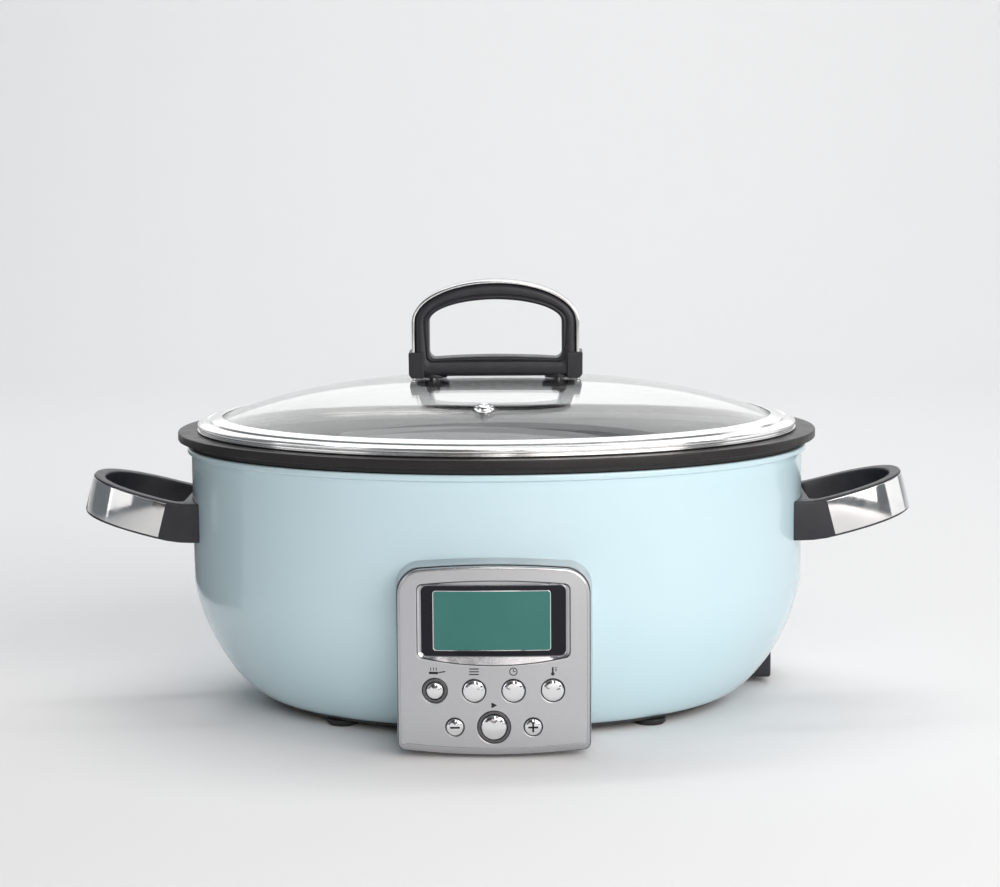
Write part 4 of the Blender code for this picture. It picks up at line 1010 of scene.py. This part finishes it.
def fascia():
    """The satin face, and the polished bevel round it."""
    outline = panel_outline(0)
    # The bevel is wider along the panel's foot.
    foot = [max(0.0, min(1.0, (9.3 - z) / 5)) for x, z in outline]
    edges = [(1.2 + 2.6 * t, 1.1 + 1.1 * t) for t in foot]
    field = inset(outline, [1.5 + 2.8 * t for t in foot])
    # A black sheet at the back of the gap between the fascia and the housing: painted shade in the gap.
    loops = [panel_outline(0.45), panel_outline(-0.3)]
    seam = plate("panel_gap_painted_shade", loops, on_panel(FASCIA + 0.02), 0.26, RING_BLACK, 0.05)
    place(seam, "base", "silver_plastic")
    edges = [edges, [0.08] * len(field)]
    bevel = plate("panel_bevel", [outline, field], on_panel(0.02), FASCIA, BEZEL, edges=edges)
    place(bevel, "base", "silver_plastic")
    loops = [inset(field, 0.06), lens_outline(0.3)]
    edges = [[0.12] * len(loops[0]), [0.5] * len(loops[1])]
    for x, z, cap, ring in BUTTONS.values():
        loops.append(circle(x, z, max(cap, ring) + 0.3))
        edges.append([0.45] * len(loops[-1]))
    piece = plate("panel_face", loops, on_panel(), FASCIA, SILVER, edges=edges, spacing=5)
    place(piece, "base", "silver_plastic", "control_fascia")


def housing():
    """The cover between the fascia and the shell, flaring a little towards the shell."""
    outer, inner = panel_outline(0.8), panel_outline(-1.6)
    steps, edge = 12, 1.0
    sections = []
    for (xo, zo), (xi, zi) in zip(outer, inner):
        out = Vector((xo - xi, 0, zo - zi)).normalized()
        front_y = panel_y(xo, FASCIA + 0.3)
        deep = shell_y(xo, max(zo, SHELL_BOTTOM)) + 1.2 - front_y
        start = Vector((xo, front_y, zo))
        section = [start + Vector((0, edge * down, 0)) - out * edge * across for across, down in QUARTER]
        for i in range(1, steps + 1):
            t = i / steps
            section.append(start + out * 1.4 * t ** 3 + Vector((0, max(deep * t, edge + 0.1), 0)))
        section += [Vector((xi, front_y + max(deep * i / steps, 0), zi)) for i in range(steps, -1, -1)]
        sections.append(section)
    piece = loft("panel_housing", sections, SILVER, ring=True, angle=40)
    place(piece, "base", "silver_plastic", "control_housing")


def display():
    """The display's recess, and the mask, frame and screen in it."""
    low, high = box("display_window")
    low, high = low - Vector((0, 0, 0.6)), high + Vector((0, 0, 0.8))
    outer = lens_outline(-0.05)
    hole = rectangle(low.x - 0.2, high.x + 0.2, low.z - 0.2, high.z + 0.2, 4)
    step, lip = inset(hole, 0.35), inset(hole, 0.8)
    # The recess slopes down to the window's hole, which steps in, and it has a flat back.
    rows = [(outer, 0.55), (hole, 1.35), (step, 1.1), (lip, 1.5), (outer, 2.6), (lip, 2.6)]
    verts = [Vector((u, panel_y(u, depth), v)) for row, depth in rows for u, v in row]
    count, size = len(outer), len(hole)
    hole_at, step_at, lip_at, back_at = count, count + size, count + 2 * size, count + 3 * size
    faces = filled([outer, hole], 0)[1]
    for a, b, n in ((hole_at, step_at, size), (step_at, lip_at, size), (0, back_at, count),
                    (lip_at, back_at + count, size)):
        faces += [(a + i, a + (i + 1) % n, b + (i + 1) % n, b + i) for i in range(n)]
    faces += [[back_at + i for i in t][::-1] for t in filled([outer, lip], 0)[1]]
    place(new_object("display_recess", verts, faces, BEZEL, 25), "base", "chrome", "display_bezel")

    s_low, s_high = box("lcd_screen")
    mask_outline = rectangle(low.x, high.x, low.z, high.z, 3.8)
    hole = rectangle(-34, 32.2, s_low.z - 0.4, s_high.z + 0.2, 1.8)
    mask = plate("display_mask", [mask_outline, hole], on_panel(1.4), 1.4, MASK, 0.25, 5)
    place(mask, "base", "smoked_window", "display_window")
    loops = [inset(hole, 0.02), inset(hole, 0.55)]
    place(plate("lcd_frame", loops, on_panel(1.62), 1.2, CHROME, 0.15), "base", "lcd")
    pane = plate("lcd_pane", [inset(hole, 0.45)], on_panel(1.95), 1.2, LCD, 0.2, 5)
    place(pane, "base", "lcd", "lcd_screen")


def button(key, x, z, cap, ring):
    """A domed cap in a dark skirt, with a flange behind the fascia, and its light ring."""
    face, body = panel_y(x), f"button_{key}"
    at = Matrix.Translation((x, face, z)) @ Matrix.Rotation(math.pi / 2, 4, "X")
    crown, back = cap - CAP_INSET, face - box(body)[1].y
    profile = [(0, 1.35), (crown * 0.35, 1.3), (crown * 0.7, 1.08), (crown * 0.92, 0.75), (crown, 0.35),
               (crown, -1.2), (0, -1.2)]
    dome_cap = knob(f"{body}_cap", profile, [0, 0.6, 0.6, 0.3, 0.2, 0.1, 0], CHROME, at, 56)
    place(dome_cap, body, "chrome", body)
    bore, flange, stem = crown - 0.1, cap + 1, 2
    profile = [(bore, 0.28), (cap, 0.12), (cap, -3.4), (flange, -3.6), (flange, -4.4), (stem, -4.4),
               (stem, back), (0, back), (0, -1.1), (bore, -1.1)]
    radii = [0.05, 0.15, 0.1, 0, 0, 0.1, 0.2, 0, 0, 0]
    place(knob(f"{body}_skirt", profile, radii, RING_BLACK, at, 56, 3), body, "chrome")
    if ring:
        gap = cap + 0.3
        profile = [(ring, 0.15), (ring, -2), (gap, -2), (gap, 0.15)]
        glow = knob(f"{body}_light", profile, [0.4, 0.1, 0.1, 0.4], LIGHT_RING, at, 64, 4, closed=True)
        place(glow, "base", "smoked_window", f"light_ring_{key}")


def stroke(a, b, width=0.5, bend=4):
    """A straight line with round ends."""
    (ax, ay), (bx, by) = a, b
    turn = math.degrees(math.atan2(by - ay, bx - ax))
    start = arc(ax, ay, width / 2, turn + 90, turn + 270, bend)
    return arc(bx, by, width / 2, turn - 90, turn + 90, bend) + start


def buttons():
    for key, values in BUTTONS.items():
        button(key, *values)
    # Raised dark minus and plus marks on their caps.
    across, upright = ((-2.3, 0), (2.3, 0)), ((0, -2.3), (0, 2.3))
    for key, arms in (("minus", [across]), ("plus", [across, upright])):
        x, z, cap, _ = BUTTONS[key]

        def on_cap(u, v, depth, x=x, z=z, crown=cap - CAP_INSET):
            r = math.hypot(u - x, v - z) / crown
            return Vector((u, panel_y(x) - 1.48 + 0.5 * r * r + depth, v))

        for i, arm in enumerate(arms):
            outline = [(x + u, z + v) for u, v in stroke(*arm, 1.15, 6)]
            mark = plate(f"button_{key}_mark_{i + 1}", [outline], on_cap, 0.5, ICON_INK, 0.08, 0.8)
            place(mark, f"button_{key}", "chrome")


ICON_SCALE = 1.3


def icons():
    """Generic icons printed on the fascia, over five of the buttons."""
    pan = [[rectangle(-2.6, 1.6, -1.1, 0.0, 0.5, 3, 3)], [stroke((1.9, -0.3), (4.4, 0.1))]]
    pan += [[stroke((dx, 0.6), (dx, 1.7), 0.35)] for dx in (-1.7, -0.5, 0.7)]
    lines = [[stroke((-1.9, dz), (1.9, dz))] for dz in (-1.1, 0.1, 1.3)]
    clock = [[circle(0, 0.1, 1.8, 28), circle(0, 0.1, 1.4, 28)]]
    clock += [[stroke((0, 0.2), (0, 1.1), 0.34)], [stroke((0.3, 0.1), (0.9, 0.1), 0.34)]]
    thermometer = [[arc(0, -1.1, 0.8, -240, 60, 14) + arc(0, 1.5, 0.4, 0, 180, 6)]]
    thermometer += [[stroke((1.0, dz), (1.7, dz), 0.3)] for dz in (0.2, 0.9, 1.6)]
    play = [[rounded([(-1.1, -1.3), (1.5, 0), (-1.1, 1.3)], 0.3, closed=True, segments=3)]]
    for name, key, shapes, above in (
        ("pan", "sear", pan, 10.9),
        ("list", "menu", lines, 10.9),
        ("clock", "time", clock, 10.9),
        ("thermometer", "temp", thermometer, 10.9),
        ("start", "start", play, 12.6),
    ):
        x, z, _, _ = BUTTONS[key]
        for i, loops in enumerate(shapes):
            loops = [[(x + ICON_SCALE * u, z + above + ICON_SCALE * v) for u, v in loop] for loop in loops]
            mark = plate(f"icon_{name}_{i + 1}", loops, on_panel(-0.04), 0.1, ICON_INK, 0.01)
            place(mark, "base", "silver_plastic")


# ---------------------------------------------------------------- inlet and insides


def to_right(x):
    """A plate's mapping: its front faces +X at x."""
    return lambda u, v, depth: Vector((x - depth, u, v))


def inlet():
    low, high = box("inlet_housing")
    s_low, s_high = box("inlet_socket")
    outline = rectangle(low.y, high.y, low.z, high.z, 3, 6, 6)
    mouth = rectangle(s_low.y - 0.4, s_high.y + 0.4, s_low.z - 0.4, s_high.z + 0.4, 1, 4, 3)
    # The block reaches back to the shell, whose surface closes it.
    block = plate("inlet_block", [outline, mouth], to_right(high.x), high.x - 96, PLASTIC, 1.6)
    half = SHELL_HALF + 0.1
    envelope = [(0, SHELL_TOP), (half, SHELL_TOP)] + belly(half, BELLY_INSET, SHELL_BOTTOM - 0.1, 30)
    envelope += [(half - BELLY_INSET, -5), (0, -5)]
    cut(block, turned("envelope", envelope, BASE), 40)
    place(block, "base", "black_plastic", "inlet_housing")

    rim = rectangle(s_low.y, s_high.y, s_low.z, s_high.z, 1.2, 4, 4)
    y0, y1, z0, z1 = s_low.y + 2.1, s_high.y - 2.1, s_low.z + 1.6, s_high.z - 1.6
    slant, depth = 4, 17
    hollow = [(y0, z0), (y1, z0), (y1, z1 - slant), (y1 - slant, z1), (y0 + slant, z1), (y0, z1 - slant)]
    hollow = rounded(hollow, 1, closed=True, segments=4)
    socket = plate("inlet_collar", [rim, hollow], to_right(s_high.x), depth, PLASTIC, 0.5)
    place(socket, "base", "black_plastic", "inlet_socket")
    floor = plate("inlet_floor", [rim], to_right(s_high.x - depth + 0.3), 1.6, PLASTIC, 0.2)
    place(floor, "base", "black_plastic")
    for pin in ("line", "neutral", "earth"):
        low, high = box(f"inlet_pin_{pin}")
        blade = rectangle(low.y, high.y, low.z, high.z, 0.5, 2, 3)
        piece = plate(f"blade_{pin}", [blade], to_right(high.x), high.x - low.x, CHROME, 0.45)
        place(piece, "base", "bright_steel", f"inlet_pin_{pin}")


def heater():
    low, high = box("heater_plate")
    half, top, bottom = high.x, high.z, low.z
    profile = [(0, top)]
    for i in range(6):
        r = 22 + 14 * i
        profile += [(r, top), (r + 0.6, top - 0.5), (r + 1.8, top - 0.5), (r + 2.4, top)]
    profile += [(half - 1.5, top), (half, top - 1.5), (half, bottom), (0, bottom)]
    disc = turned("hot_plate", profile, CAST, steps=128)
    # The plate is oval, and the well for the sensor is round.
    well = [(0, top + 2), (12.5, top + 2), (12.5, bottom - 2), (0, bottom - 2)]
    cut(disc, turned("sensor_well", well, CAST, ratio=1, steps=64))
    place(disc, "base", "cast_aluminium", "heater_plate")
    # The spring ends inside the plunger's skirt, so the plunger clears it when it goes down 3 mm.
    wire, radius, steps = 0.45, 6, 60
    start = box("sensor_spring")[0].z + wire
    rise = box("sensor_plunger")[1].z - 7.1 - start
    coil = []
    for i in range(steps + 1):
        turn = 3 * 2 * math.pi * i / steps
        coil.append((radius * math.cos(turn), OVAL_Y + radius * math.sin(turn), start + rise * i / steps))
    place(tube("sensor_coil", coil, wire, SCREW), "base", "bright_steel", "sensor_spring")


def hidden():
    """Materials for the CAD pieces that sit inside the base."""
    for material, nodes in (
        (ELEMENT, ["heater_element"]),
        (LEAD, ["heater_lead_left", "heater_lead_right"]),
        (SILICONE, ["thermal_fuse", "sensor_guide", "key_mat"]),
        (CAST, ["sensor_plunger"]),
        (BOARD, ["power_board", "control_board"]),
    ):
        for node in nodes:
            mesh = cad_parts[node].data
            mesh.materials.clear()
            mesh.materials.append(material)
            mesh.shade_smooth()
            mesh.set_sharp_from_angle(angle=math.radians(40))


# ---------------------------------------------------------------- studio, in metres


def stage():
    """A floor that curves up into the backdrop."""
    surface = look("floor", (0.86, 0.86, 0.865), 0.5, gloss=((30, 3), 0.03), bumps=[((1.5, 2), 0.003)],
                   sockets={"Specular IOR Level": 0.0})
    half, front, bend_from, bend, top, sunk = 4, -3, 1.6, 0.9, 3.2, 0.0002
    turns = [math.radians(a) for a in range(5, 95, 5)]
    profile = [(front, 0), (bend_from, 0)]
    profile += [(bend_from + bend * math.sin(t), bend * (1 - math.cos(t))) for t in turns]
    profile += [(bend_from + bend, top)]
    verts = [(x, y, z - sunk) for y, z in profile for x in (-half, half)]
    faces = [(2 * i, 2 * i + 1, 2 * i + 3, 2 * i + 2) for i in range(len(profile) - 1)]
    new_object("backdrop", verts, faces, surface, 40, unit=1)


def area_light(name, where, aim, size, power, colour=(1, 1, 1)):
    light = bpy.data.lights.new(name, "AREA")
    light.shape = "RECTANGLE"
    light.size, light.size_y = size
    light.energy = power
    light.color = colour
    obj = bpy.data.objects.new(name, light)
    obj.location = where
    obj.rotation_euler = (Vector(aim) - Vector(where)).to_track_quat("-Z", "Y").to_euler()
    bpy.context.scene.collection.objects.link(obj)


def lights():
    world = bpy.data.worlds.new("studio")
    world.use_nodes = True
    sky = world.node_tree.nodes["Background"]
    sky.inputs["Color"].default_value = (0.88, 0.95, 1.0, 1)
    sky.inputs["Strength"].default_value = 0.205
    bpy.context.scene.world = world
    area_light("window_right", (0.9, -1.6, 0.85), (0, 0, 0.1), (2.2, 1.4), 37, (1.0, 0.95, 0.915))
    area_light("fill_left", (-1.8, -0.6, 0.6), (0, 0, 0.1), (0.14, 1.2), 0.4, (0.96, 0.98, 1.0))
    area_light("overhead", (0.1, 0.5, 2.2), (0, 0.2, 0.1), (2.2, 1.4), 17)
    area_light("backdrop_wash", (0.3, 0.9, 2.6), (0, 2.4, 1.0), (3.0, 0.6), 31)
    bpy.context.scene.view_settings.view_transform = "Standard"


def cards():
    """Dark and bright cards out of the picture, for the glass and polished pieces to reflect."""
    dark = plain("card_cloth", (0.05, 0.04, 0.035), 0.8)
    bright = look("card_white", (0.7, 0.7, 0.7), 0.6, gloss=((40, 2), 0.03),
                  sockets={"Emission Color": (1, 1, 1, 1), "Emission Strength": 0.62})
    middle_low = (0, 0, 0.1)
    for name, where, aim, width, height, surface in (
        ("card_front", (-0.42, -2.0, 0.5), middle_low, 0.4, 1.0, dark),
        ("card_post_left", (-0.3, -0.95, 0.5), middle_low, 0.1, 0.6, dark),
        ("card_post_right", (0.14, -1.1, 0.45), middle_low, 0.14, 0.55, dark),
        ("card_floor", (-0.01, -0.42, 0.0015), (-0.01, -0.42, 1.0), 0.09, 0.07, dark),
        ("card_floor_right", (0.09, -0.36, 0.0015), (0.09, -0.36, 1.0), 0.03, 0.06, dark),
        ("card_bowl", (-0.72, 0.5, 0.002), (-0.72, 0.5, 1.0), 0.8, 1.1, dark),
        ("card_left", (-1.6, -1.1, 0.65), middle_low, 1.3, 1.1, bright),
        ("card_right", (1.8, 0.3, 0.6), middle_low, 1.5, 1.3, bright),
        ("card_back", (0, 2.2, 1.8), (0, 0, 1.8), 4.4, 2.4, bright),
        ("shade_left", (-0.6, -0.12, 0.24), (0, -0.05, 0.1), 1.0, 0.42, dark),
    ):
        facing = (Vector(aim) - Vector(where)).to_track_quat("Z", "Y").to_matrix().to_4x4()
        at = Matrix.Translation(where) @ facing
        signs = ((-0.5, -0.5), (0.5, -0.5), (0.5, 0.5), (-0.5, 0.5))
        corners = [at @ Vector((x * width, y * height, 0)) for x, y in signs]
        card = new_object(name, corners, [(0, 1, 2, 3)], surface, unit=1)
        card.visible_camera = False
        card.visible_shadow = False
        # The shade takes light off the left side, and the others are only seen in reflections.
        card.visible_diffuse = name == "shade_left"
        card.visible_glossy = name != "shade_left"


def camera():
    """1.5 m in front of the oval's axis, a little to its right, looking 8 degrees down."""
    lens = bpy.data.cameras.new("camera")
    lens.lens = 89.14
    lens.sensor_width = 36
    view = bpy.data.objects.new("camera", lens)
    around, pitch, roll = math.radians(0.85), math.radians(90 - 8.16), math.radians(-0.4)
    turn = Matrix.Rotation(pitch, 4, "X") @ Matrix.Rotation(roll, 4, "Z")
    spot = Matrix.Translation((0.0022, -1.5, 0.3727)) @ turn
    axis = Matrix.Translation((0, OVAL_Y * MM, 0))
    view.matrix_world = axis @ Matrix.Rotation(around, 4, "Z") @ spot
    bpy.context.scene.collection.objects.link(view)
    bpy.context.scene.camera = view


# ---------------------------------------------------------------- all of it

for build in (camera, lights, stage, cards, shell, rim_ring, liner, base_cover, feet_and_screws, pot,
              lid_glass, lid_rim, lid_vent, lid_grip, lid_strip, lid_fasteners):
    build()
side_handle("left", -1)
side_handle("right", 1)
for build in (housing, fascia, display, buttons, icons, inlet, heater, hidden):
    build()
